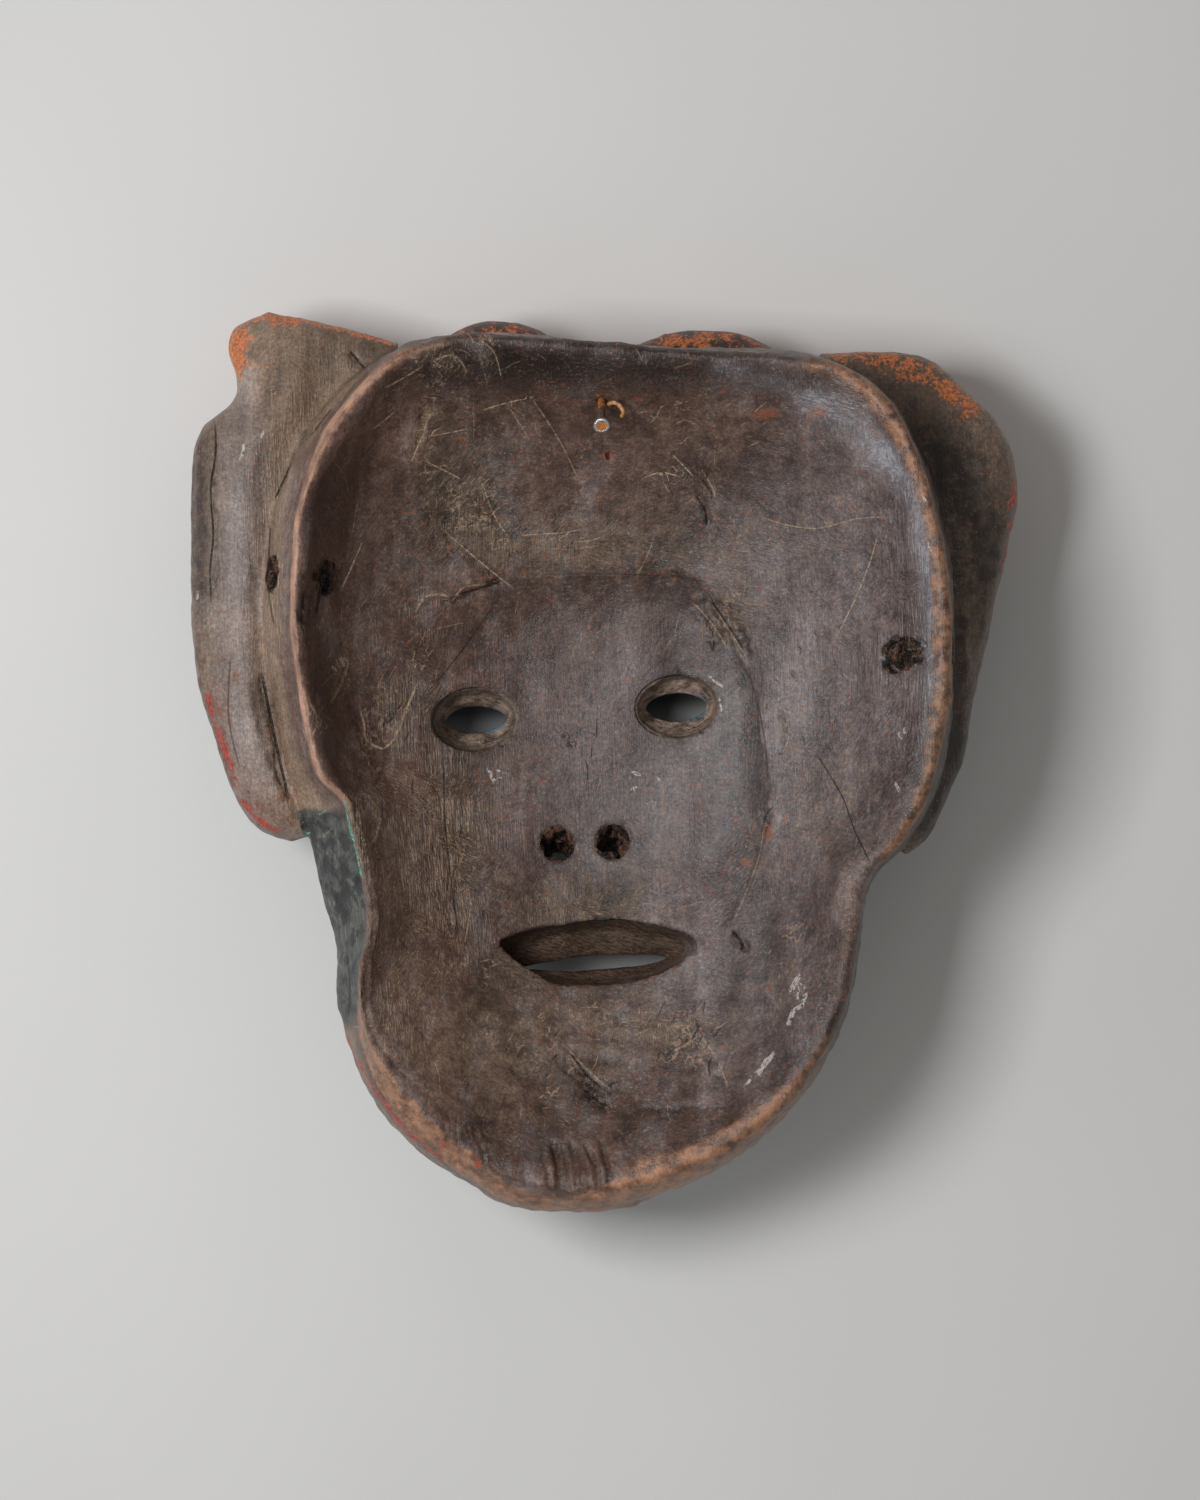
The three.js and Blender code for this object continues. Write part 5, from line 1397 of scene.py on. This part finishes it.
def noise(place_here, scale, detail=2.0, rough=0.55):
    """Cloudy noise, where the scale is roughly the number of clouds in one millimetre."""
    values = {"Vector": place_here, "Scale": scale, "Detail": detail, "Roughness": rough}
    return add_node(tree, "TexNoise", values).outputs["Fac"]


def ragged(share_here, pattern, spread, clamp=False):
    """A share pushed up and down by a pattern that swings about one half."""
    return calc("MULTIPLY_ADD", calc("SUBTRACT", pattern, 0.5), spread, share_here, clamp)


metres = add_node(tree, "TexCoord").outputs["Object"]
millimetres = scaled(metres, 1000.0)


def fibres(degrees, width, length):
    """Hair-fine streaks running at an angle from upright."""
    turned = {"Vector": millimetres, "Rotation": (0, 0, math.radians(-degrees))}
    run = add_node(tree, "Mapping", turned).outputs[0]
    return noise(stretched(run, (1 / width, 1 / length, 0.4 / width)), 1.0, 2.0, 0.72)


# Patterns in the wood, from broad clouds to grains, and fibres that run three ways.
mottle = noise(millimetres, 0.05, 3.0, 0.55)
blotch = noise(millimetres, 0.22, 5.0, 0.66)
speckle = noise(millimetres, 0.9, 3.0, 0.8)
smear = noise(stretched(millimetres, (1, 0.35, 0.5)), 0.11, 3.0, 0.6)
upright = fibres(2, 0.5, 9)
leaning = fibres(-38, 0.5, 3)
crossing = fibres(74, 0.5, 3.5)
stain = noise(millimetres, 0.085, 4.0, 0.66)
leaning_share = times(ramp(noise(millimetres, 0.045, 1.0), 0.52, 0.58), zone("hollow"))
crossing_patches = noise(stretched(millimetres, (0.6, 1.4, 1)), 0.05, 1.0)
crossing_share = times(ramp(crossing_patches, 0.56, 0.62), zone("hollow"))
fibre = add_node(tree, "Mix", {0: leaning_share, 2: upright, 3: leaning}).outputs[0]
fibre = add_node(tree, "Mix", {0: crossing_share, 2: fibre, 3: crossing}).outputs[0]
streak = fibres(3, 1.7, 28)

# Colours as the screen shows them, many as a dark and a light one for the patterns to mix.
BROWN, GREY, OLIVE = linear(88, 66, 58), linear(110, 101, 101), linear(104, 88, 72)
TAN, DUST, NEAR_BLACK = linear(190, 164, 138), linear(134, 116, 98), linear(40, 34, 31)
LOBE_GREY, LOBE_BROWN, REDWOOD = linear(144, 134, 132), linear(124, 104, 88), linear(104, 66, 52)
RED_FLECK, SHEEN_VEIL_PAINT, SHEEN_PAINT = linear(150, 86, 58), linear(140, 138, 144), linear(170, 171, 179)
SLATE_DARK, SLATE_LIGHT, SLATE_DUST = linear(34, 36, 34), linear(76, 81, 78), linear(132, 120, 104)
RING_DARK, RING_LIGHT = linear(106, 93, 84), linear(178, 156, 140)
RECESS_DARK, RECESS_LIGHT = linear(66, 52, 42), linear(112, 92, 76)
HOLE_SHADE_DARK, TORN_LIGHT = linear(28, 19, 15), linear(104, 72, 54)
RIM_PINK_DARK, RIM_PINK_LIGHT = linear(126, 94, 78), linear(186, 146, 124)
RIM_BROWN_DARK, RIM_BROWN_LIGHT, RIM_LINE = linear(80, 56, 44), linear(184, 134, 100), linear(54, 50, 50)
HAIR_DARK, HAIR_LIGHT = linear(52, 38, 32), linear(128, 62, 40)
ORANGE_DARK, ORANGE_LIGHT = linear(160, 88, 52), linear(232, 134, 74)
RED_DARK, RED_LIGHT, RUST = linear(116, 50, 42), linear(206, 62, 46), linear(150, 90, 64)
CRACK, GREEN_CHIP, BLUE_CHIP = linear(26, 20, 18), linear(96, 184, 160), linear(92, 156, 190)
WHITE_CHIP = linear(200, 192, 184)
BARE_DARK, BARE_LIGHT = linear(62, 46, 38), linear(104, 82, 66)
SKIN_DARK, SKIN_LIGHT = linear(46, 66, 62), linear(66, 104, 98)
CURL_BLACK, CURL_ORANGE = linear(40, 33, 30), linear(176, 96, 54)
BROW_PAINT, LID_PAINT, LIP_PAINT = linear(36, 32, 30), linear(112, 160, 178), linear(150, 52, 42)

# Greyer places, partly a painted sheen over the floor of the hollow.
greyer_and_sheen_share = ragged(zone("greyer_and_painted_sheen"), smear, 1.4, True)
olive_share = ragged(zone("olive"), blotch, 2.0, True)
colour = blend(greyer_and_sheen_share, BROWN, GREY)
colour = blend(times(olive_share, 0.8), colour, OLIVE)
colour = blend(zone("lobe"), colour, LOBE_BROWN)
# A pale strip down the left lobe, partly a painted highlight along its ridge.
pale_share = ragged(zone("pale_lobe_and_ridge_highlight"), smear, 1.6, True)
colour = blend(times(pale_share, 0.8), colour, LOBE_GREY)
red_share = ragged(zone("redwood"), blotch, 2.6)
colour = blend(times(ramp(red_share, 0.35, 0.9), 0.75), colour, REDWOOD)

# Light and dark of the bare wood, by its fibres, stains and speckles. The relief adds painted light
# and shade: lighter where the wood stands proud, darker in the cuts, where dirt lies too. The lift
# share adds painted light on the left and painted shade on the right and at the top.
hatch_depth = calc("MULTIPLY_ADD", zone("fibrous"), 0.6, 0.05)
tone = ragged(1.0, ramp(fibre, 0.36, 0.64), hatch_depth)
blotch_depth = calc("MULTIPLY_ADD", zone("lobe"), -0.1, 0.24)
tone = times(tone, calc("MULTIPLY_ADD", ramp(blotch, 0.32, 0.68, -1.0, 1.0), blotch_depth, 1.0))
tone = times(tone, ramp(streak, 0.3, 0.7, 0.93, 1.07))
tone = times(tone, ramp(speckle, 0.38, 0.63, 0.76, 1.24), ramp(zone("cut"), -1.2, 1.2, 1.3, 0.62))
tone = times(tone, ramp(stain, 0.5, 0.66, 1.02, 0.84), calc("MULTIPLY_ADD", zone("lift"), 0.58, 1.0))
colour = scaled(colour, tone)

# Dark stains with painted shade, scuffs, torn fibres, dust, and a painted sheen on the polished places.
# Near-black over the stains and over the painted shade.
dark_edge = ragged(zone("stain_and_painted_shade"), blotch, 1.6)
colour = blend(times(ramp(dark_edge, 0.1, 0.9), 0.9), colour, NEAR_BLACK)

scuff_edge = ragged(zone("scuffed"), blotch, 1.6)
scuff_hairs = ramp(fibre, 0.5, 0.66)
scuff = times(ramp(scuff_edge, 0.1, 0.8), scuff_hairs)
colour = blend(times(ramp(scuff_edge, 0.1, 1.0), 0.28), colour, DUST)
colour = blend(times(scuff, 0.7), colour, TAN)
streaky = calc("MULTIPLY_ADD", zone("fibrous"), 0.8, 0.2)
flecks = times(ramp(fibre, 0.6, 0.64), ramp(blotch, 0.44, 0.6), zone("hollow"), streaky)
colour = blend(times(flecks, 0.4), colour, TAN)
nicks = times(ramp(fibre, 0.34, 0.4, 1.0, 0.0), ramp(stain, 0.44, 0.56), zone("hollow"), streaky)
colour = blend(times(nicks, 0.5), colour, NEAR_BLACK)
dust = times(ramp(speckle, 0.61, 0.66), ramp(smear, 0.4, 0.56))
colour = blend(times(dust, 0.42), colour, TAN)
warm = times(ramp(noise(millimetres, 0.6, 2.0, 0.6), 0.61, 0.66), ramp(smear, 0.38, 0.54))
colour = blend(times(warm, 0.55), colour, RED_FLECK)
# Painted sheen: a pale veil over the polished places.
painted_sheen_veil = times(zone("polish_and_painted_sheen"), ramp(fibre, 0.4, 0.62), ramp(blotch, 0.34, 0.6, 0.4, 1.0))
colour = blend(times(painted_sheen_veil, 0.3), colour, SHEEN_VEIL_PAINT)
painted_sheen_streaks = times(zone("painted_sheen"), ramp(blotch, 0.3, 0.6, 0.4, 1.0))
painted_sheen_streaks = ragged(painted_sheen_streaks, fibre, 3.2)
painted_sheen_streaks = ragged(painted_sheen_streaks, speckle, 1.6)
colour = blend(times(zone("painted_sheen"), 0.32), colour, SHEEN_PAINT)
colour = blend(times(ramp(painted_sheen_streaks, 0.4, 1.15), zone("painted_sheen"), 0.62), colour, SHEEN_PAINT)


def flaked(share_here, spread, low, high):
    """A share with a soft edge, broken into flakes and grains."""
    return ramp(ragged(ragged(share_here, blotch, spread), speckle, spread * 0.6), low, high)


def drawn(name, low=0.45, high=1.1):
    """A thin mark: its strength, cut off at its width from the middle of its line."""
    line = ramp(calc("ABSOLUTE", zone(name + "_across")), low, high, 1.0, 0.0)
    return times(zone(name + "_strength"), line, ramp(speckle, 0.38, 0.54, 0.1, 1.0))


# Slate paint on the flank, the bevels of the slits, and the torn holes, whose near-black is painted shade in
# the holes.
slate_colour = blend(ramp(blotch, 0.4, 0.6), SLATE_DARK, SLATE_LIGHT)
dusty = times(ramp(fibre, 0.5, 0.62), ramp(blotch, 0.45, 0.6), ramp(zone("slate"), 0.7, 1.1, 0.2, 0.8))
slate_colour = blend(dusty, slate_colour, SLATE_DUST)
colour = blend(flaked(zone("slate"), 1.0, 0.42, 0.72), colour, slate_colour)
ring_colour = blend(ramp(blotch, 0.38, 0.62), RING_DARK, RING_LIGHT)
ring_tone = times(ramp(speckle, 0.3, 0.7, 0.75, 1.25), ramp(crossing, 0.38, 0.62, 0.75, 1.25))
colour = blend(times(zone("eye_ring"), 0.9), colour, scaled(ring_colour, ring_tone))
colour = blend(times(zone("eye_edge"), ramp(blotch, 0.4, 0.6), 0.6), colour, NEAR_BLACK)
recess_colour = blend(ramp(crossing, 0.4, 0.62), RECESS_DARK, RECESS_LIGHT)
colour = blend(times(zone("recess"), 0.9), colour, recess_colour)
torn_grain = noise(stretched(millimetres, (1, 0.6, 0.6)), 0.55, 3.0, 0.7)
torn_and_shaded_colour = blend(ramp(torn_grain, 0.46, 0.6), HOLE_SHADE_DARK, TORN_LIGHT)
torn_and_shaded_colour = scaled(torn_and_shaded_colour, ramp(speckle, 0.36, 0.66, 0.6, 1.4))
colour = blend(flaked(zone("torn"), 0.5, 0.4, 0.6), colour, torn_and_shaded_colour)

# The rubbed rim, pink where it is freshly bare and brown where it is old.
rim_place = add_node(tree, "Attribute", attribute_type="GEOMETRY", attribute_name="rim_run")
along_rim = rim_place.outputs["Vector"]
rim_streak = noise(stretched(along_rim, (9, 9, 3.2)), 1.0, 4.0, 0.65)
rim_wander = noise(stretched(along_rim, (7, 7, 0.4)), 1.0, 3.0, 0.6)
rim_pink = blend(ramp(rim_streak, 0.35, 0.65), RIM_PINK_DARK, RIM_PINK_LIGHT)
rim_brown = blend(ramp(blotch, 0.32, 0.66), RIM_BROWN_DARK, RIM_BROWN_LIGHT)
rim_colour = blend(zone("rim_warm"), rim_pink, rim_brown)
rim_colour = scaled(rim_colour, ramp(speckle, 0.3, 0.7, 0.85, 1.12))
# Painted light and shade on the rubbed rim, by the same share.
rim_colour = scaled(rim_colour, calc("MULTIPLY_ADD", zone("lift"), 0.3, 1.0))
colour = blend(times(zone("rim_outline"), 0.7), colour, RIM_LINE)
hair_colour = blend(ramp(blotch, 0.42, 0.6), HAIR_DARK, HAIR_LIGHT)
colour = blend(times(zone("hair"), 0.85), colour, hair_colour)
rim_edge = ragged(zone("rim_wear"), rim_wander, 0.9)
rim_edge = ragged(rim_edge, rim_streak, 0.5)
rim_edge = ragged(rim_edge, blotch, 0.5)
colour = blend(times(ramp(rim_edge, 0.3, 0.8), 0.88), colour, rim_colour)

# Orange and red paint, and rusty spots.
orange_colour = blend(ramp(speckle, 0.35, 0.65), ORANGE_DARK, ORANGE_LIGHT)
colour = blend(times(flaked(zone("orange"), 1.5, 0.42, 0.66), 0.9), colour, orange_colour)
red_colour = blend(ramp(speckle, 0.4, 0.62), RED_DARK, RED_LIGHT)
colour = blend(times(flaked(zone("red"), 1.9, 0.48, 0.7), 0.85), colour, red_colour)
colour = blend(times(flaked(zone("rust_spot"), 1.0, 0.35, 0.8), 0.6), colour, RUST)

# Scratches, cracks and chips of paint along their lines.
stray = calc("MAXIMUM", drawn("stray_a"), drawn("stray_b"))
pale = drawn("pale")
dark_line = calc("MAXIMUM", drawn("darkline"), times(drawn("nicks"), 0.7))
colour = blend(times(stray, 0.7), colour, TAN)
colour = blend(times(pale, 1.0), colour, TAN)
colour = blend(times(dark_line, 0.9), colour, CRACK)
green = times(drawn("green", 0.4, 1.1), ramp(speckle, 0.44, 0.54), ramp(blotch, 0.4, 0.5, 0.3, 1.0))
colour = blend(ramp(green, 0.2, 0.5), colour, GREEN_CHIP)
blue = times(drawn("blue", 0.5, 1.2), ramp(speckle, 0.4, 0.55))
colour = blend(ramp(blue, 0.2, 0.5), colour, BLUE_CHIP)
white = times(drawn("white", 0.5, 0.9), ramp(speckle, 0.42, 0.5))
colour = blend(times(ramp(white, 0.12, 0.4), 0.85), colour, WHITE_CHIP)

# The painted far side, worn through on its high places.
bare = blend(ramp(blotch, 0.4, 0.6), BARE_DARK, BARE_LIGHT)
green_skin = blend(ramp(mottle, 0.4, 0.6), SKIN_DARK, SKIN_LIGHT)
hair_paint = blend(flaked(zone("painted_hair"), 1.4, 0.6, 0.8), CURL_BLACK, CURL_ORANGE)
green_skin = scaled(green_skin, ramp(speckle, 0.3, 0.7, 0.8, 1.15))
front_colour = blend(zone("painted_hair"), green_skin, hair_paint)
front_colour = blend(times(zone("brows"), 0.9), front_colour, BROW_PAINT)
front_colour = blend(times(zone("lids"), 0.9), front_colour, LID_PAINT)
front_colour = blend(times(zone("lips"), 0.95), front_colour, LIP_PAINT)
worn_front = calc("MULTIPLY_ADD", zone("cut"), -0.25, ragged(0.42, blotch, 1.6))
front_colour = blend(ramp(worn_front, 0.5, 0.66), front_colour, bare)
# Painted light and shade on the far side too: darker in its grooves, where dirt lies as well, and a little
# lighter where it stands proud.
front_colour = scaled(front_colour, ramp(zone("cut"), -0.4, 1.1, 1.1, 0.5))
painted = calc("MAXIMUM", zone("front"), zone("painted_hair"))
colour = blend(flaked(painted, 0.5, 0.35, 0.55), colour, front_colour)

# The finest relief, and how shiny each place is.
FINEST_RELIEF = 0.0007
fibre_height = times(fibre, calc("MULTIPLY_ADD", zone("fibrous"), 1.2, 0.2))
height = calc("MULTIPLY_ADD", speckle, 0.4, fibre_height)
height = calc("MULTIPLY_ADD", blotch, 0.75, height)
height = calc("MULTIPLY_ADD", scuff, 0.3, height)
height = calc("MULTIPLY_ADD", calc("ADD", stray, pale), -0.25, height)
height = calc("MULTIPLY_ADD", dark_line, -0.9, height)
height = calc("MULTIPLY_ADD", times(zone("torn"), noise(millimetres, 0.9, 3.0)), 2.5, height)
bump = add_node(tree, "Bump", {"Height": height, "Strength": 1.0, "Distance": FINEST_RELIEF}).outputs[0]
shine = calc("MULTIPLY_ADD", zone("polish_and_painted_sheen"), -0.2, ramp(blotch, 0.3, 0.7, 0.31, 0.46))
shine = calc("MULTIPLY_ADD", scuff, 0.2, shine, clamp=True)
polish_and_painted_sheen = times(zone("polish_and_painted_sheen"), 0.5)
finish_material(tree, Base_Color=colour, Roughness=shine, Normal=bump, Coat_Weight=polish_and_painted_sheen, Coat_Roughness=0.3)


def to_metres(points):
    """Millimetres about the bowl as metres about the middle of the part's box."""
    return (np.asarray(points) - (*BOX_MIDDLE, 0)) / 1000


mask.data.materials.clear()
mask.data.materials.append(wood)
mask.data.polygons.foreach_set("use_smooth", [True] * len(mask.data.polygons))
for name, share_here in zones.items():
    layer = mask.data.attributes.new(name, "FLOAT", "POINT")
    layer.data.foreach_set("value", np.asarray(share_here, np.float32))
layer = mask.data.attributes.new("rim_run", "FLOAT_VECTOR", "POINT")
layer.data.foreach_set("vector", rim_run.astype(np.float32).ravel())
mask.data.vertices.foreach_set("co", to_metres(place).ravel())
mask.data.update()
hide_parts("carved_mask")
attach(mask, "root")

# A short nail of round iron wire, driven slantwise into the crown of the hollow as a hook for
# the mask's hanging string. Its foot is orange with rust, and its head is worn bright at the edge.
NAIL_WIDTH, NAIL_HEAD, NAIL_HEAD_HEIGHT = 2.2, 4.9, 1.1
NAIL_STAND, NAIL_BITE = 16.0, 8.0
NAIL_SIDES, NAIL_RINGS = 40, 34
NAIL_FLARE = 0.7
NAIL_WORN_EDGE = 0.9


def nail_mesh():
    """The shank and head as one skin, with shares for rust and for bright metal at its points."""
    draw = np.random.default_rng(61)
    shank, head = NAIL_WIDTH / 2, NAIL_HEAD / 2
    neck = NAIL_STAND - NAIL_HEAD_HEIGHT - NAIL_FLARE
    profile = [(shank, length) for length in np.linspace(2 - NAIL_BITE, neck, NAIL_RINGS)]
    profile += [(lerp(shank, head, share), neck + NAIL_FLARE * share**2) for share in (0.3, 0.6, 0.85, 1)]
    profile += [(head + 0.05, NAIL_STAND - 0.7), (head, NAIL_STAND - 0.3), (head - 0.25, NAIL_STAND - 0.05)]
    profile += [(head - 0.6, NAIL_STAND), (head - 1.0, NAIL_STAND - 0.18), (head - 1.5, NAIL_STAND - 0.3)]
    side = np.cross(nail_axis, (1, 0, 0))
    side /= np.linalg.norm(side)
    other = np.cross(nail_axis, side)
    turn = np.linspace(0, 2 * math.pi, NAIL_SIDES, endpoint=False)
    rings, rust, bright = [], [], []
    for radius, along in profile:
        pitted = radius + 0.06 * draw.normal(size=NAIL_SIDES) * (along > -2)
        pitted += 0.08 * np.sin(3 * turn + 1) * (radius > shank + 0.5)
        circle = np.outer(np.cos(turn), side) + np.outer(np.sin(turn), other)
        rings.append(nail_foot + nail_axis * along + pitted[:, None] * circle)
        at_edge = radius > head - NAIL_WORN_EDGE
        worn = 0.0 if along < neck + 0.6 or at_edge else 0.8
        rust.append(np.full(NAIL_SIDES, 1 - smooth(4.5, 6.5, along) if along < neck else worn))
        bright.append(np.full(NAIL_SIDES, 1.0 if along > neck + 0.5 and at_edge else 0.0))
    tip, top = nail_foot - nail_axis * NAIL_BITE, nail_foot + nail_axis * (NAIL_STAND - 0.35)
    points, faces = skin(tip, rings, top)
    return points, faces, np.concatenate([[1.0], *rust, [0.5]]), np.concatenate([[0.0], *bright, [0.0]])


# Rust in grains and stains, shared by the nail and the wire.
rust_group = bpy.data.node_groups.new("rust_grains", "ShaderNodeTree")
rust_group.interface.new_socket("Vector", in_out="INPUT", socket_type="NodeSocketVector")
rust_group.interface.new_socket("Grain", in_out="OUTPUT", socket_type="NodeSocketFloat")
rust_group.interface.new_socket("Stain", in_out="OUTPUT", socket_type="NodeSocketFloat")
group_in = rust_group.nodes.new("NodeGroupInput")
group_out = rust_group.nodes.new("NodeGroupOutput")
for socket, scale, detail in (("Grain", 2600.0, 3.0), ("Stain", 700.0, 4.0)):
    values = {"Vector": group_in.outputs["Vector"], "Scale": scale, "Detail": detail, "Roughness": 0.7}
    spots = add_node(rust_group, "TexNoise", values)
    rust_group.links.new(spots.outputs["Fac"], group_out.inputs[socket])


def add_rust(tree):
    """The rust group placed in a material, giving its grain and its stain."""
    made = tree.nodes.new("ShaderNodeGroup")
    made.node_tree = rust_group
    tree.links.new(add_node(tree, "TexCoord").outputs["Object"], made.inputs["Vector"])
    return made.outputs["Grain"], made.outputs["Stain"]


points, faces, rust, bright = nail_mesh()
nail = new_solid("wall_mask_nail", to_metres(points), faces)
nail.data.polygons.foreach_set("use_smooth", [True] * len(faces))
for name, share_here in (("rust", rust), ("bright", bright)):
    layer = nail.data.attributes.new(name, "FLOAT", "POINT")
    layer.data.foreach_set("value", share_here.astype(np.float32))
iron, tree = new_material("rusty_iron", linear(120, 84, 56))
grain, stain = add_rust(tree)
IRON_DARK, IRON_LIGHT, BRIGHT_METAL = linear(52, 42, 38), linear(120, 100, 86), linear(214, 216, 220)
DEEP_RUST, LIGHT_RUST = linear(150, 82, 34), linear(206, 132, 70)
iron_colour = blend(ramp(grain, 0.35, 0.65), IRON_DARK, IRON_LIGHT)
rust_colour = blend(ramp(stain, 0.35, 0.65), DEEP_RUST, LIGHT_RUST)
iron_colour = blend(ramp(ragged(zone("rust"), stain, 1.0), 0.35, 0.6), iron_colour, rust_colour)
bright_share = ramp(ragged(zone("bright"), stain, 0.8), 0.4, 0.6)
iron_colour = blend(bright_share, iron_colour, BRIGHT_METAL)
iron_bump = add_node(tree, "Bump", {"Height": grain, "Strength": 1.0, "Distance": 0.0002}).outputs[0]
finish_material(tree, Base_Color=iron_colour, Metallic=times(bright_share, 0.9),
                Roughness=ramp(bright_share, 0.0, 1.0, 0.8, 0.34), Normal=iron_bump)
nail.data.materials.append(iron)
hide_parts("nail")
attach(nail, "root")

# A thinner bent wire beside the nail, perhaps the last of an older hook. It is pushed into the
# wood and curls over to the right, golden tan all over with a light skin of rust.
WIRE_WIDTH, WIRE_BITE = 1.3, 5.0
WIRE_SIDES, WIRE_RINGS, WIRE_TIP_RINGS = 20, 90, 3
# Its bent line, as places across and up and a height above its foot.
WIRE_PATH = [(2.9, 105.4, 3.5), (4.4, 105.6, 5.5), (6.1, 104.5, 6), (7, 102.7, 5.8), (6.5, 101.2, 5.2)]

path = [wire_foot - (0, 0, WIRE_BITE), wire_foot]
path += [np.array([x, y, wire_foot[2] + lift]) for x, y, lift in WIRE_PATH]
middle_line = spline(path, np.linspace(0, 1, WIRE_RINGS))
ahead = np.gradient(middle_line, axis=0)
ahead /= np.linalg.norm(ahead, axis=1)[:, None]
draw = np.random.default_rng(62)
turn = np.linspace(0, 2 * math.pi, WIRE_SIDES, endpoint=False)
rings = []
for number, (middle, way) in enumerate(zip(middle_line, ahead)):
    side = np.cross(way, (0.35, 0.9, 0.1))
    side /= np.linalg.norm(side)
    other = np.cross(side, way)
    taper = 0.75 if number >= WIRE_RINGS - WIRE_TIP_RINGS else 1
    radius = WIRE_WIDTH / 2 * (1 + 0.07 * draw.normal()) * taper
    rings.append(middle + radius * (np.outer(np.cos(turn), side) + np.outer(np.sin(turn), other)))
points, faces = skin(middle_line[0] - ahead[0] * 0.1, rings, middle_line[-1] + ahead[-1] * 0.1)
wire = new_solid("wall_mask_wire", to_metres(points), faces)
wire.data.polygons.foreach_set("use_smooth", [True] * len(faces))
golden, tree = new_material("rusty_wire", linear(176, 132, 82))
grain, stain = add_rust(tree)
GOLDEN_SKIN, BROWN_SKIN = linear(214, 170, 112), linear(160, 104, 52)
wire_colour = blend(ramp(stain, 0.35, 0.68), GOLDEN_SKIN, BROWN_SKIN)
wire_bump = add_node(tree, "Bump", {"Height": grain, "Strength": 1.0, "Distance": 0.0001}).outputs[0]
wire_rough = ramp(grain, 0.3, 0.7, 0.42, 0.7)
finish_material(tree, Base_Color=wire_colour, Roughness=wire_rough, Metallic=0.15, Normal=wire_bump)
wire.data.materials.append(golden)
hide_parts("wire_hook")
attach(wire, "root")
